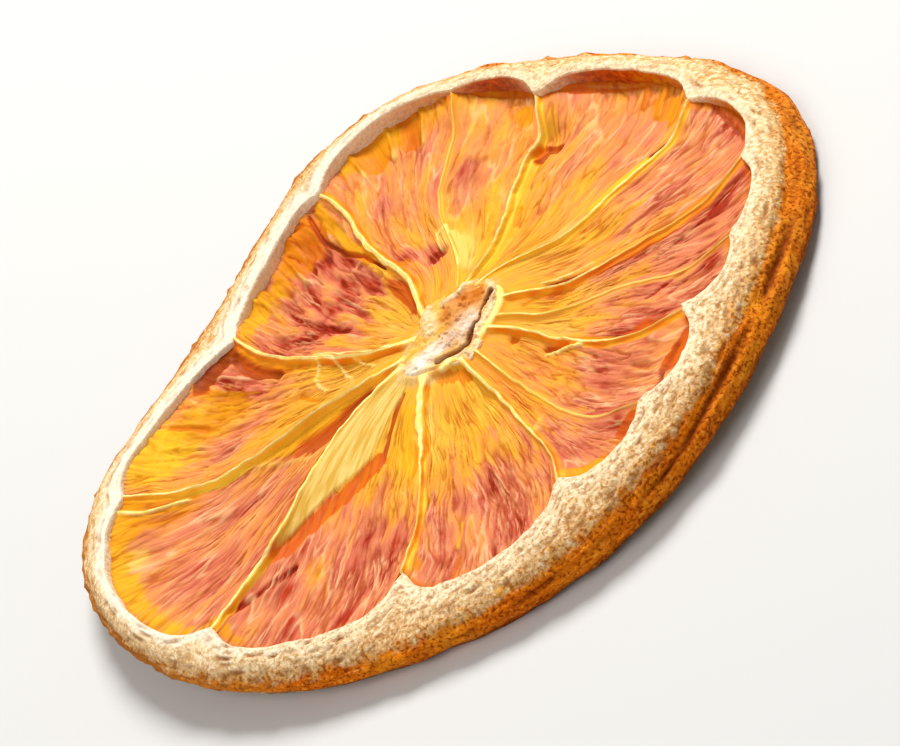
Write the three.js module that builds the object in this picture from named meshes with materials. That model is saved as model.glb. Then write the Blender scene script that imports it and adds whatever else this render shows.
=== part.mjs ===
// Dried blood orange slice: one thin round cut across the fruit, shrunk and warped by drying.
// Millimetres, +Z up. X runs along the slice's longest width. The origin lies on the surface
// that the slice rests on, under the middle of its outline. Angles are in degrees, counted
// from +X towards +Y.
import * as THREE from 'three';

// Outline: the upper edge of the peel, seen from above. Places in the slice are counted from
// the middle of its circle, which lies here in the part's own frame.
const CIRCLE_CENTRE = new THREE.Vector2(-0.43, 0.02);
const MEAN_RADIUS = 28.72;
const OUTLINE_WAVES = [
  { count: 2, height: 1.06, crest: 166.7 },
  { count: 3, height: 0.36, crest: 70.2 },
  { count: 4, height: 0.60, crest: 82.0 },
  { count: 5, height: 0.34, crest: -2.8 },
];
const FLAT_SIDE_DISTANCE = 25.25;
const FLAT_SIDE_ANGLE = 115;
const FLAT_SIDE_SOFTNESS = 0.4;

// Warp: the rim rises and falls three times, so it stands on three low stretches
const WARP_HEIGHT = 0.7;
const WARP_COUNT = 3;
const WARP_LOW_ANGLE = 122;
const FOOT_DEPTH = 0.12;

// Heights above the warped underside of the rim
const CREST_HEIGHT = 3.3;
const CREST_RISE_NEAR = 0.3;
const PEEL_EDGE_HEIGHT = 2.3;
const CORE_HEIGHT = 2.75;
const FLESH_UNDERSIDE = 1.0;
const UNDERSIDE_RIDGE = 0.45;
const THINNEST_FLESH = 0.45;

// Pith ring: its width seen from above, between the teeth that run in to the membranes
const PITH_WIDTH = 2.52;
const PITH_WAVES = [
  { count: 1, height: 0.28, crest: 161.3 },
  { count: 2, height: 0.60, crest: 101.7 },
  { count: 3, height: 0.46, crest: 4.9 },
];
const TOOTH_SPREAD = 3.2;

// Peel: how far its foot stands out from its upper edge, and how far its side bulges
const PEEL_LEAN = -0.1;
const PEEL_LEAN_WAVES = [
  { count: 1, height: 0.9, crest: 340 },
  { count: 2, height: 0.5, crest: 320 },
];
const PEEL_BULGE = 0.55;

// Core: the spongy middle where the membranes meet
const CORE_CENTRE = new THREE.Vector2(2.2, -0.3);
const CORE_HALF_LENGTH = 4.6;
const CORE_HALF_WIDTH = 2.7;

// Membranes between the segments, in order round the slice. Each one starts at the core,
// turned by its swing, bends by its bow, sway and ripple on the way out, and ends in a tooth
// of pith at its rim angle. Of the dried segment that follows it, the sink is the depth in the middle
// and the step is the depth just inside the pith.
const MEMBRANES = [
  { rim: 3.2, swing: 29.7, bow: -21.3, sway: -5.4, ripple: -2.7,
    ridge: 0.5, tooth: 1.7, sink: 0.85, step: 1.35 },
  { rim: 37.3, swing: 7.9, bow: -7.9, sway: -2.1, ripple: -1.5,
    ridge: 0.8, tooth: 2.4, sink: 0.85, step: 1.30 },
  { rim: 56.2, swing: -7.5, bow: 8.6, sway: 1.0, ripple: -1.4,
    ridge: 0.2, tooth: 0.6, sink: 0.85, step: 1.00 },
  { rim: 86.2, swing: 12.4, bow: -8.8, sway: -3.8, ripple: -2.2,
    ridge: 0.7, tooth: 2.1, sink: 1.15, step: 0.70 },
  { rim: 120.5, swing: 12.6, bow: 2.6, sway: 0.0, ripple: 0.4,
    ridge: 0.7, tooth: 1.4, sink: 0.75, step: 0.35 },
  { rim: 155.2, swing: 5.2, bow: 3.7, sway: -3.4, ripple: -1.2,
    ridge: 0.9, tooth: 1.2, sink: 0.70, step: 0.40 },
  { rim: 199.8, swing: -29.8, bow: 6.3, sway: -1.1, ripple: -0.4,
    ridge: 0.9, tooth: 1.7, sink: 0.60, step: 0.60 },
  { rim: 236.1, swing: -24.5, bow: 10.7, sway: 1.1, ripple: 0.5,
    ridge: 0.7, tooth: 3.3, sink: 0.55, step: 0.60 },
  { rim: 270.9, swing: -9.6, bow: 7.0, sway: 1.1, ripple: 0.9,
    ridge: 0.7, tooth: 2.6, sink: 0.60, step: 0.60 },
  { rim: 290.0, swing: -8.3, bow: -4.7, sway: 0.9, ripple: -0.4,
    ridge: 0.2, tooth: 1.6, sink: 0.60, step: 0.70 },
  { rim: 309.0, swing: 5.1, bow: -8.3, sway: 0.5, ripple: 0.2,
    ridge: 0.5, tooth: 2.8, sink: 0.40, step: 0.60 },
  { rim: 324.0, swing: 5.0, bow: -8.0, sway: -2.0, ripple: -2.4,
    ridge: 0.3, tooth: 1.0, sink: 0.40, step: 0.50 },
  { rim: 341.5, swing: 7.1, bow: -13.2, sway: -2.9, ripple: -2.0,
    ridge: 0.5, tooth: 1.0, sink: 0.45, step: 1.00 },
];
const MEMBRANE_HALF_WIDTH = 0.35;
const FIRM_RIDGE = 0.5;
const RIDGE_LEFT_AT_RIM = 0.4;

// Flap: one membrane lies folded over towards the next segment
const FLAP_MEMBRANE = 6;
const FLAP_WIDTH = 2.7;
const FLAP_START = 0.02;
const FLAP_END = 0.66;
const FLAP_FALL = 0.45;
const FLAP_EDGE = 1.4;

// Pits: torn hollows in the flesh and the core
const PITS = [
  { x: 16.9, y: 10.0, reach: 1.3, depth: 0.8 },
  { x: 2.6, y: -2.5, reach: 0.9, depth: 0.8 },
  { x: 7.2, y: -8.3, reach: 1.2, depth: 0.4 },
];

// Unevenness of the dried surfaces
const SHRIVEL = 0.1;
const RIM_RAGGEDNESS = 0.18;
const CREST_LUMPS = 0.12;
const CORE_LUMPS = 0.25;

// Columns across each segment, and rows from the core to the pith, above and below
const COLUMN_PLACES = [0, 0.05, 0.14, 0.26, 0.38, 0.5, 0.62, 0.74, 0.86, 0.95];
const CORE_ROWS = [0.45, 0.85];
const FLESH_ROWS = [0.07, 0.17, 0.29, 0.42, 0.55, 0.68, 0.8, 0.9, 0.975];
const UNDERSIDE_ROWS = [0.96, 0.8, 0.55, 0.3, 0.1];
const UNDERSIDE_CORE_ROW = 0.6;
const UNDERSIDE_RIDGE_PLACE = 0.12;

// Rows over the pith: the share of its width from the inner edge, and how much of the rise
// from the peel's edge to the crest is reached there
const PITH_ROWS = [
  { share: 0.03, rise: 0.9 },
  { share: 0.3, rise: 1.0 },
  { share: 0.7, rise: 0.6 },
];

// Rows down the side of the peel and in under the rim: the shares of the bulge and of the
// lean that push the row out, a distance back in, and the height
const PEEL_ROWS = [
  { bulge: 0, lean: 0, back: 0, height: PEEL_EDGE_HEIGHT },
  { bulge: 0.7, lean: 0, back: 0, height: 1.95 },
  { bulge: 1, lean: 0.3, back: 0, height: 1.4 },
  { bulge: 0.6, lean: 0.75, back: 0, height: 0.6 },
  { bulge: 0, lean: 1, back: 0, height: 0.15 },
  { bulge: 0, lean: 1, back: 0.5, height: 0 },
];
const UNDER_PITH_ROW = { share: 0.25, height: 0.05 };

const radians = THREE.MathUtils.degToRad;

function mix(from, to, share) {
  return from + (to - from) * share;
}

function wavesAt(waves, angle) {
  return waves.reduce(
    (sum, wave) => sum + wave.height * Math.cos(wave.count * (angle - radians(wave.crest))), 0);
}

function turnBetween(angle, other) {
  return Math.atan2(Math.sin(angle - other), Math.cos(angle - other));
}

// An uneven value between -1 and 1 that changes smoothly with both inputs
function uneven(u, v) {
  const waves = Math.sin(1.7 * u + 2.3 * v + 0.4) + Math.sin(2.9 * u - 1.1 * v + 1.9)
    + Math.sin(-1.3 * u + 3.7 * v + 5.1);
  return waves / 3;
}

// Radius of the peel's upper edge: waves on a circle, with one side pressed flat
function outlineRadius(angle) {
  const round = MEAN_RADIUS + wavesAt(OUTLINE_WAVES, angle);
  const towardsFlat = Math.max(Math.cos(angle - radians(FLAT_SIDE_ANGLE)), 0.35);
  const flat = FLAT_SIDE_DISTANCE / towardsFlat;
  const blend = Math.exp(-round / FLAT_SIDE_SOFTNESS) + Math.exp(-flat / FLAT_SIDE_SOFTNESS);
  return -FLAT_SIDE_SOFTNESS * Math.log(blend);
}

function outlinePoint(angle) {
  const radius = outlineRadius(angle);
  return new THREE.Vector2(radius * Math.cos(angle), radius * Math.sin(angle));
}

// Height of the warped underside, calm in the middle and strongest at the rim
function warpAt(angle, reach) {
  const wave = Math.cos(WARP_COUNT * (angle - radians(WARP_LOW_ANGLE)));
  return WARP_HEIGHT * (1 - wave * Math.min(reach, 1) ** 2);
}

function coreRadius(direction) {
  return 1 / Math.hypot(Math.cos(direction) / CORE_HALF_LENGTH, Math.sin(direction) / CORE_HALF_WIDTH);
}

function membraneAngle(index, s) {
  const turn = Math.floor(index / MEMBRANES.length);
  const membrane = MEMBRANES[index % MEMBRANES.length];
  const bend = membrane.swing * (1 - s) + membrane.bow * Math.sin(Math.PI * s)
    + membrane.sway * Math.sin(2 * Math.PI * s) + membrane.ripple * Math.sin(3 * Math.PI * s);
  return radians(membrane.rim + 360 * turn + bend);
}

function toothDepth(angle) {
  return MEMBRANES.reduce((sum, membrane) => {
    const away = Math.abs(turnBetween(angle, radians(membrane.rim)));
    return sum + membrane.tooth * Math.exp(-away / radians(TOOTH_SPREAD));
  }, 0);
}

// Where a column stands: its segment, its place across it, and its line from core to rim.
// s is 0 at the edge of the core and 1 at the inner edge of the pith.
function columnAngle(column, s) {
  return mix(membraneAngle(column.segment, s), membraneAngle(column.segment + 1, s), column.place);
}

// The tooth of pith that the column runs into shortens its line on the whole way
function lineFromCore(column, s) {
  const angle = columnAngle(column, s);
  const edge = outlinePoint(angle);
  const arm = edge.clone().sub(CORE_CENTRE);
  const length = arm.length();
  const coreEdge = coreRadius(arm.angle());
  const tooth = toothDepth(columnAngle(column, 1));
  const pithEdge = length - PITH_WIDTH - wavesAt(PITH_WAVES, angle) - tooth;
  return { angle, arm: arm.divideScalar(length), length, coreEdge, pithEdge };
}

function pointOnLine(line, distance) {
  return line.arm.clone().multiplyScalar(distance).add(CORE_CENTRE);
}

function crestHeight(angle) {
  return CREST_HEIGHT + CREST_RISE_NEAR * (0.5 - 0.5 * Math.sin(angle));
}

// Height of a membrane's upper edge on its way from the core to the crest of the pith
function membraneHeight(angle, s) {
  return mix(CORE_HEIGHT, crestHeight(angle) - 0.1, s ** 2.5);
}

// How much of the membrane ridge is left at a distance to its side
function ridgeShare(distance) {
  return Math.exp(-((distance / MEMBRANE_HALF_WIDTH) ** 2));
}

// How firmly a membrane holds the surface up: a faint one sinks with the flesh on both sides
function firmness(membrane, s) {
  const atRim = THREE.MathUtils.smoothstep(s, 0.8, 0.95);
  return mix(Math.min(1, membrane.ridge / FIRM_RIDGE), 1, atRim);
}

function pitDepth(point) {
  return PITS.reduce((sum, pit) => {
    const away = Math.hypot(point.x - pit.x, point.y - pit.y) / pit.reach;
    return sum + pit.depth * Math.exp(-away * away);
  }, 0);
}

// The folded membrane keeps the surface high over its width and falls away beyond it
function flapFill(column, s, fromMembrane) {
  if (column.segment !== FLAP_MEMBRANE || s < FLAP_START || s > FLAP_END) {
    return 0;
  }
  const along = (s - FLAP_START) / (FLAP_END - FLAP_START);
  const width = FLAP_WIDTH * Math.sin(Math.PI * along) ** 0.8;
  const across = fromMembrane / width;
  const beyond = THREE.MathUtils.smoothstep(across, 1, FLAP_EDGE);
  return (1 - FLAP_FALL * Math.min(across, 1)) * (1 - beyond);
}

function fleshTop(column, s) {
  const line = lineFromCore(column, s);
  const angle = line.angle;
  const distance = mix(line.coreEdge, line.pithEdge, s);
  const point = pointOnLine(line, distance);
  const width = distance * (membraneAngle(column.segment + 1, s) - membraneAngle(column.segment, s));
  const fromFirst = width * column.place;
  const fromSecond = width * (1 - column.place);
  const first = MEMBRANES[column.segment % MEMBRANES.length];
  const second = MEMBRANES[(column.segment + 1) % MEMBRANES.length];
  const ridge = Math.max(first.ridge * ridgeShare(fromFirst), second.ridge * ridgeShare(fromSecond));
  const highest = mix(first.ridge, second.ridge, column.place);
  const held = firmness(column.place < 0.5 ? first : second, s);
  const dish = (1 - held * (1 - (4 * column.place * (1 - column.place)) ** 0.7))
    * THREE.MathUtils.smoothstep(s, 0, 0.3);
  const towardsRim = THREE.MathUtils.smoothstep(s, 0.7, 0.97);
  const ridgeDrop = (highest - ridge) * mix(1, RIDGE_LEFT_AT_RIM, towardsRim);
  const sunk = ridgeDrop + mix(first.sink, first.step, towardsRim) * dish;
  const fill = flapFill(column, s, fromFirst);
  const shrivel = SHRIVEL * dish * (1 - fill) * uneven(9 * column.place + column.segment, 14 * s);
  const height = membraneHeight(angle, s) - sunk * (1 - fill) + shrivel - pitDepth(point);
  return { point, angle, reach: distance / line.length, height };
}

function fleshUnderside(column, s) {
  const top = fleshTop(column, s);
  const fromMembrane = Math.min(column.place, 1 - column.place) / UNDERSIDE_RIDGE_PLACE;
  const height = FLESH_UNDERSIDE - UNDERSIDE_RIDGE * Math.max(1 - fromMembrane, 0);
  return { ...top, height: Math.min(height, top.height - THINNEST_FLESH) };
}

// A place on the rim: an offset from the peel's upper edge, outwards positive
function rimPlace(column, offset, height) {
  const line = lineFromCore(column, 1);
  const ragged = RIM_RAGGEDNESS * uneven(23 * line.angle, 5 * height);
  const distance = line.length + offset + ragged;
  return { point: pointOnLine(line, distance), angle: line.angle, reach: 1, height };
}

// A place on the pith ring, by its share of the way from its inner edge to the peel
function pithPlace(column, share, height) {
  const line = lineFromCore(column, 1);
  return rimPlace(column, (line.pithEdge - line.length) * (1 - share), height);
}

function pithTop(column, row) {
  const angle = columnAngle(column, 1);
  const crest = crestHeight(angle) + CREST_LUMPS * uneven(31 * angle, 0);
  return pithPlace(column, row.share, mix(PEEL_EDGE_HEIGHT, crest, row.rise));
}

function peelSide(column, row) {
  const lean = PEEL_LEAN + wavesAt(PEEL_LEAN_WAVES, columnAngle(column, 1));
  return rimPlace(column, row.bulge * PEEL_BULGE + row.lean * lean - row.back, row.height);
}

function coreTop(column, share) {
  const line = lineFromCore(column, 0);
  const point = pointOnLine(line, line.coreEdge * share);
  const lump = CORE_LUMPS * (1 - share) * uneven(1.1 * point.x, 1.4 * point.y);
  return { point, angle: 0, reach: 0, height: CORE_HEIGHT + lump - pitDepth(point) };
}

function coreUnderside(column, share) {
  return { ...coreTop(column, share), height: FLESH_UNDERSIDE - UNDERSIDE_RIDGE };
}

// One closed row of points round the slice for each entry, from the middle of the top, out
// over the flesh, the pith and the peel, and back under to the middle of the underside
const ROWS = [
  ...CORE_ROWS.map((share) => (column) => coreTop(column, share)),
  ...FLESH_ROWS.map((s) => (column) => fleshTop(column, s)),
  ...PITH_ROWS.map((row) => (column) => pithTop(column, row)),
  ...PEEL_ROWS.map((row) => (column) => peelSide(column, row)),
  (column) => pithPlace(column, UNDER_PITH_ROW.share, UNDER_PITH_ROW.height),
  ...UNDERSIDE_ROWS.map((s) => (column) => fleshUnderside(column, s)),
  (column) => coreUnderside(column, UNDERSIDE_CORE_ROW),
];

function columnsRound() {
  return MEMBRANES.flatMap((membrane, segment) => COLUMN_PLACES.map((place) => ({ segment, place })));
}

// Height over the resting surface: the warp is added, and the lowest stretches are worn flat
function standingPoint(place) {
  const lifted = place.height + warpAt(place.angle, place.reach) - FOOT_DEPTH;
  return [place.point.x + CIRCLE_CENTRE.x, place.point.y + CIRCLE_CENTRE.y, Math.max(lifted, 0)];
}

function middleOf(row) {
  const sum = row.reduce((total, point) => total.map((value, axis) => value + point[axis]), [0, 0, 0]);
  return sum.map((value) => value / row.length);
}

function sliceGeometry() {
  const columns = columnsRound();
  const rows = ROWS.map((place) => columns.map((column) => standingPoint(place(column))));
  const count = columns.length;
  const positions = [...rows.flat(), middleOf(rows[0]), middleOf(rows[rows.length - 1])];
  const topMiddle = rows.length * count;
  const underMiddle = topMiddle + 1;
  const lastRow = (rows.length - 1) * count;
  const triangles = [];
  for (let i = 0; i < count; i += 1) {
    const next = (i + 1) % count;
    triangles.push(topMiddle, i, next);
    for (let row = 0; row < rows.length - 1; row += 1) {
      const inner = row * count;
      const outer = inner + count;
      triangles.push(inner + i, outer + i, outer + next);
      triangles.push(inner + i, outer + next, inner + next);
    }
    triangles.push(underMiddle, lastRow + next, lastRow + i);
  }
  const geometry = new THREE.BufferGeometry();
  geometry.setAttribute('position', new THREE.Float32BufferAttribute(positions.flat(), 3));
  geometry.setIndex(triangles);
  geometry.computeVertexNormals();
  return geometry;
}

// Middle tone of the orange flesh, the cream pith and the brown-orange peel
const driedOrange = new THREE.MeshStandardMaterial({
  color: 0xe39a5c, roughness: 0.6, metalness: 0,
});

const slice = new THREE.Mesh(sliceGeometry(), driedOrange);
slice.name = 'orange_slice';

const part = new THREE.Group();
part.add(slice);

export default part;
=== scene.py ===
"""A dried slice of blood orange: its rind ring, its thirteen dried segments and its core."""
import math
from collections import namedtuple

import bpy
import numpy as np
from mathutils import Matrix, Vector


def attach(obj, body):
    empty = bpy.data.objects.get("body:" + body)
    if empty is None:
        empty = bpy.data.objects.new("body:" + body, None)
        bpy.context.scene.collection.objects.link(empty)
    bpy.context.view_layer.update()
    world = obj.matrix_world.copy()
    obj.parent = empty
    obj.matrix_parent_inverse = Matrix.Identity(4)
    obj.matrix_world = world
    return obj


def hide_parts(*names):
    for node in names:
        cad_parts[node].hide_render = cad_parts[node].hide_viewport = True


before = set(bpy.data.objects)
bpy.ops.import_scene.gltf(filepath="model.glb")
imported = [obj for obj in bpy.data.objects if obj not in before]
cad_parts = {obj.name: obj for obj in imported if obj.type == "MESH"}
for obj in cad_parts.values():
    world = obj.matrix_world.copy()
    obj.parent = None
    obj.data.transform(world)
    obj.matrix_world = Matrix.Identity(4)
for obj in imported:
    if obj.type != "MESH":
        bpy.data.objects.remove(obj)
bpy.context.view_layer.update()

MM = 0.001

# Outline and warp of the slice, in millimetres and degrees, as in the solid
CIRCLE_CENTRE = (-0.43, 0.02)
MEAN_RADIUS = 28.72
OUTLINE_WAVES = ((2, 1.06, 166.7), (3, 0.36, 70.2), (4, 0.60, 82.0), (5, 0.34, -2.8))
FLAT_SIDE_DISTANCE = 25.25
FLAT_SIDE_ANGLE = 115
FLAT_SIDE_SOFTNESS = 0.4
WARP_HEIGHT = 0.7
WARP_COUNT = 3
WARP_LOW_ANGLE = 122
FOOT_DEPTH = 0.12

# Heights above the warped underside of the rim
CREST_HEIGHT = 3.3
CREST_RISE_NEAR = 0.3
PEEL_EDGE_HEIGHT = 2.3
CORE_HEIGHT = 2.75
FLESH_UNDERSIDE = 1.0
UNDERSIDE_RIDGE = 0.45
THINNEST_FLESH = 0.45

# Pith ring and peel
PITH_WIDTH = 2.52
PITH_WAVES = ((1, 0.28, 161.3), (2, 0.60, 101.7), (3, 0.46, 4.9))
TOOTH_SPREAD = 3.2
TOOTH_TIP = 0.8
PEEL_LEAN = -0.1
PEEL_LEAN_WAVES = ((1, 0.9, 340), (2, 0.5, 320))

# Core
CORE_CENTRE = (2.2, -0.3)
CORE_HALF_LENGTH = 4.6
CORE_HALF_WIDTH = 2.7
CORE_RADIUS = 3.75
CORE_WAVES = ((1, 0.58, 74.2), (2, 0.54, 20.8), (3, 0.22, 49.2), (4, 0.37, 1.4))

# Membranes between the segments, in order round the slice: the line of each one (rim angle,
# swing, bow, sway, ripple), its ridge and tooth, and the sink and the step at the rim of the
# dried segment that follows it
MEMBRANE_NAMES = ("rim", "swing", "bow", "sway", "ripple", "ridge", "tooth", "sink", "step")
MEMBRANE_VALUES = (
    (3.2, 29.7, -21.3, -5.4, -2.7, 0.5, 1.7, 0.85, 1.35),
    (37.3, 7.9, -7.9, -2.1, -1.5, 0.8, 2.4, 0.85, 1.30),
    (56.2, -7.5, 8.6, 1.0, -1.4, 0.2, 0.6, 0.85, 1.00),
    (86.2, 12.4, -8.8, -3.8, -2.2, 0.7, 2.1, 1.15, 0.70),
    (120.5, 12.6, 2.6, 0.0, 0.4, 0.7, 1.4, 0.75, 0.35),
    (155.2, 5.2, 3.7, -3.4, -1.2, 0.9, 1.2, 0.70, 0.40),
    (199.8, -29.8, 6.3, -1.1, -0.4, 0.9, 1.7, 0.60, 0.60),
    (236.1, -24.5, 10.7, 1.1, 0.5, 0.7, 3.3, 0.55, 0.60),
    (270.9, -9.6, 7.0, 1.1, 0.9, 0.7, 2.6, 0.60, 0.60),
    (290.0, -8.3, -4.7, 0.9, -0.4, 0.2, 1.6, 0.60, 0.70),
    (309.0, 5.1, -8.3, 0.5, 0.2, 0.5, 2.8, 0.40, 0.60),
    (324.0, 5.0, -8.0, -2.0, -2.4, 0.3, 1.0, 0.40, 0.50),
    (341.5, 7.1, -13.2, -2.9, -2.0, 0.5, 1.0, 0.45, 1.00),
)
MEMBRANES = [dict(zip(MEMBRANE_NAMES, values)) for values in MEMBRANE_VALUES]
SEGMENT_COUNT = len(MEMBRANES)
RIDGE_HALF_WIDTH = 0.17
RIDGE_SHOWN = 0.7
RIDGE_UNEVENNESS = 0.35
ROOT_FLARE = 0.9
ROOT_FLARE_REACH = 1.1
MEMBRANE_WANDER = 0.35
FIRM_RIDGE = 0.5
RIDGE_LEFT_AT_RIM = 0.4
LIP_WIDTH = 0.15
LIP_EDGE = 0.45
BEHIND_LIP_DEPTH = 0.25

# Folded flap of one membrane: its width at places on the way out, how far it falls to its free
# edge, and how far the hollow beside it is filled
FLAP_SEGMENT = 6
FLAP_PROFILE = (
    (-0.02, 0.01), (0.0, 1.5), (0.06, 2.2), (0.12, 2.8), (0.20, 3.4), (0.27, 3.8), (0.33, 3.5),
    (0.41, 2.3), (0.52, 1.3), (0.64, 0.45), (0.72, 0.01),
)
FLAP_FALL = 0.75
FLAP_EDGE = 1.2

# Stretches of the rim that differ: the direction each one faces, in degrees, and the cosines of
# the turn from it at which its share begins and is whole
NEAR_FLESH = (-62, 0.1, 0.6)
BLEACHED_RIM = (136, 0.05, 0.60)
NEAR_RIM = (-115, -0.7, 0.7)
FAR_RIM = (95, 0.2, 0.8)
RIGHT_RIM = (20, 0.75, 0.98)
LEFT_RIM = (160, 0.2, 0.7)
GROOVED_RIM = (-50, 0.1, 0.8)

# Torn hollows: x, y, reach and depth
HOLLOWS = ((17.3, 10.5, 1.2, 0.8), (2.6, -2.5, 0.9, 0.8), (7.2, -8.3, 1.2, 0.4))


def mix(start, end, share):
    """The value a share of the way from the start to the end."""
    return start + (end - start) * share


def smoothstep(value, low, high):
    """0 up to the low value, 1 from the high one, and a smooth rise between them."""
    t = np.clip((value - low) / (high - low), 0, 1)
    return t * t * (3 - 2 * t)


def waves_at(waves, angle):
    """Sum of waves round the slice, each with its count, its height and the angle of a crest."""
    return sum(height * np.cos(count * (angle - math.radians(crest)))
               for count, height, crest in waves)


def turn_between(angle, other):
    """The shorter turn from one angle to another."""
    return np.arctan2(np.sin(angle - other), np.cos(angle - other))


# Unevenness

def chance(column, row, salt):
    """A settled random value from 0 to 1 for each whole-numbered place."""
    mixed = (column * 374761393 + row * 668265263 + salt * 974634777) & 0xFFFFFFFF
    mixed = ((mixed ^ (mixed >> 13)) * 1274126177) & 0xFFFFFFFF
    return ((mixed ^ (mixed >> 16)) & 0xFFFFFF) / 0xFFFFFF


def swell(x, y, salt, around=0):
    """Smooth unevenness from about -1 to 1, about one swell per unit. With a number of units
    given as around, the pattern closes after so many units of x."""
    x, y = np.broadcast_arrays(np.asarray(x, float), np.asarray(y, float))
    column = np.floor(x).astype(np.int64)
    row = np.floor(y).astype(np.int64)
    across = smoothstep(x - column, 0, 1)
    along = smoothstep(y - row, 0, 1)

    def corner(i, j):
        at = (column + i) % around if around else column + i
        turn = 2 * np.pi * chance(at, row + j, salt)
        return np.cos(turn) * (x - column - i) + np.sin(turn) * (y - row - j)

    low = mix(corner(0, 0), corner(1, 0), across)
    high = mix(corner(0, 1), corner(1, 1), across)
    return 1.5 * mix(low, high, along)


def layered(x, y, salt, layers=3, around=0):
    """Swells of falling size laid over each other."""
    total = 0
    for n in range(layers):
        total = total + swell(x * 2 ** n, y * 2 ** n, salt + n, around * 2 ** n) / 2 ** n
    return total


def creases(x, y, salt, sharpness=3.0):
    """1 in thin creases, falling to 0 between them."""
    folds = 1 - np.abs(np.clip(layered(x, y, salt, 2), -1, 1))
    return np.clip(folds, 0, 1) ** sharpness


Cells = namedtuple("Cells", "from_middle from_border own")


def cells(x, y, salt, around=0, looseness=0.9):
    """Irregular cells, about one per unit: distance from the cell's middle, distance from
    its border, and a settled random value of its own."""
    column = np.floor(x).astype(np.int64)
    row = np.floor(y).astype(np.int64)
    nearest = np.full(x.shape, 9.0)
    second = np.full(x.shape, 9.0)
    own = np.zeros(x.shape)
    for i in (-1, 0, 1):
        for j in (-1, 0, 1):
            at = (column + i) % around if around else column + i
            middle_x = column + i + 0.5 + looseness * (chance(at, row + j, salt) - 0.5)
            middle_y = row + j + 0.5 + looseness * (chance(at, row + j, salt + 7) - 0.5)
            away = np.hypot(x - middle_x, y - middle_y)
            closer = away < nearest
            second = np.where(closer, nearest, np.minimum(second, away))
            own = np.where(closer, chance(at, row + j, salt + 13), own)
            nearest = np.where(closer, away, nearest)
    return Cells(nearest, second - nearest, own)


# Lines of the slice

def outline_radius(angle):
    """Radius of the slice's outline, a wavy round with one flat side."""
    round_radius = MEAN_RADIUS + waves_at(OUTLINE_WAVES, angle)
    towards_flat = np.maximum(np.cos(angle - math.radians(FLAT_SIDE_ANGLE)), 0.35)
    flat = FLAT_SIDE_DISTANCE / towards_flat
    blend = np.exp(-round_radius / FLAT_SIDE_SOFTNESS) + np.exp(-flat / FLAT_SIDE_SOFTNESS)
    return -FLAT_SIDE_SOFTNESS * np.log(blend)


def warp_at(angle, reach):
    """How far the slice is lifted off the ground, at a share of the way out."""
    wave = np.cos(WARP_COUNT * (angle - math.radians(WARP_LOW_ANGLE)))
    return WARP_HEIGHT * (1 - wave * np.minimum(reach, 1) ** 2)


def membrane_angle(index, s):
    """Angle of a membrane's line at a place on the way out from the core to the pith."""
    turns, number = divmod(index, SEGMENT_COUNT)
    line = MEMBRANES[number]
    bend = (line["swing"] * (1 - s) + line["bow"] * np.sin(np.pi * s)
            + line["sway"] * np.sin(2 * np.pi * s) + line["ripple"] * np.sin(3 * np.pi * s))
    wander = MEMBRANE_WANDER * layered(s * 12, number * 5.3, 3, 2) * np.sin(np.pi * np.clip(s, 0, 1))
    return np.radians(line["rim"] + 360 * turns + bend + wander / (0.3 + np.maximum(s, 0)))


def tooth_depth(angle):
    """How far the pith reaches inwards in a tooth at the end of each membrane."""
    spread = math.radians(TOOTH_SPREAD)
    tip = math.radians(TOOTH_TIP)
    depth = 0
    for line in MEMBRANES:
        away = turn_between(angle, math.radians(line["rim"]))
        depth = depth + line["tooth"] * np.exp(-(np.hypot(away, tip) - tip) / spread)
    return depth


Arm = namedtuple("Arm", "x y length core_edge pith_edge")


def line_from_core(angle, rim_angle):
    """The arm from the core to the outline: its direction, length, and where it leaves the
    core and meets the pith."""
    radius = outline_radius(angle)
    arm_x = radius * np.cos(angle) - CORE_CENTRE[0]
    arm_y = radius * np.sin(angle) - CORE_CENTRE[1]
    length = np.hypot(arm_x, arm_y)
    arm_x = arm_x / length
    arm_y = arm_y / length
    core_edge = 1 / np.hypot(arm_x / CORE_HALF_LENGTH, arm_y / CORE_HALF_WIDTH)
    pith_edge = length - PITH_WIDTH - waves_at(PITH_WAVES, angle) - tooth_depth(rim_angle)
    return Arm(arm_x, arm_y, length, core_edge, pith_edge)


def share_facing(angle, stretch):
    """1 in the middle of one of the stretches of the rim, falling to 0 beyond it."""
    direction, begins, whole = stretch
    return smoothstep(np.cos(angle - math.radians(direction)), begins, whole)


def hollow_depth(x, y):
    """Depth of the torn hollows at a place."""
    return sum(depth * np.exp(-((x - middle_x) ** 2 + (y - middle_y) ** 2) / reach ** 2)
               for middle_x, middle_y, reach, depth in HOLLOWS)


def crest_height(angle):
    """Height of the rim's crest above its underside."""
    return CREST_HEIGHT + CREST_RISE_NEAR * (0.5 - 0.5 * np.sin(angle))


# Flesh

# Size and relief of the dried vesicles, which lie side by side and point to the core, and of
# the fine fibres in them
VESICLE_WIDTH = 1.25
VESICLE_LENGTH = 5.0
VESICLE_RELIEF = 0.09
VESICLE_WALL = 0.08
FIBRE_WIDTH = 0.36
FIBRE_LENGTH = 3.0
FIBRE_RELIEF = 0.04
CREASE_WIDTH = 0.6
CREASE_LENGTH = 4.5
CREASE_DEPTH = 0.09
CRUMPLE_RELIEF = 0.20
SWELL_RELIEF = 0.16
WAVE_RELIEF = 0.32
TEAR_RELIEF = 0.09

# The pattern of a segment is laid out over its width at this radius, and over this way out
PATTERN_RADIUS = 16
PATTERN_LENGTH = 22

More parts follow.
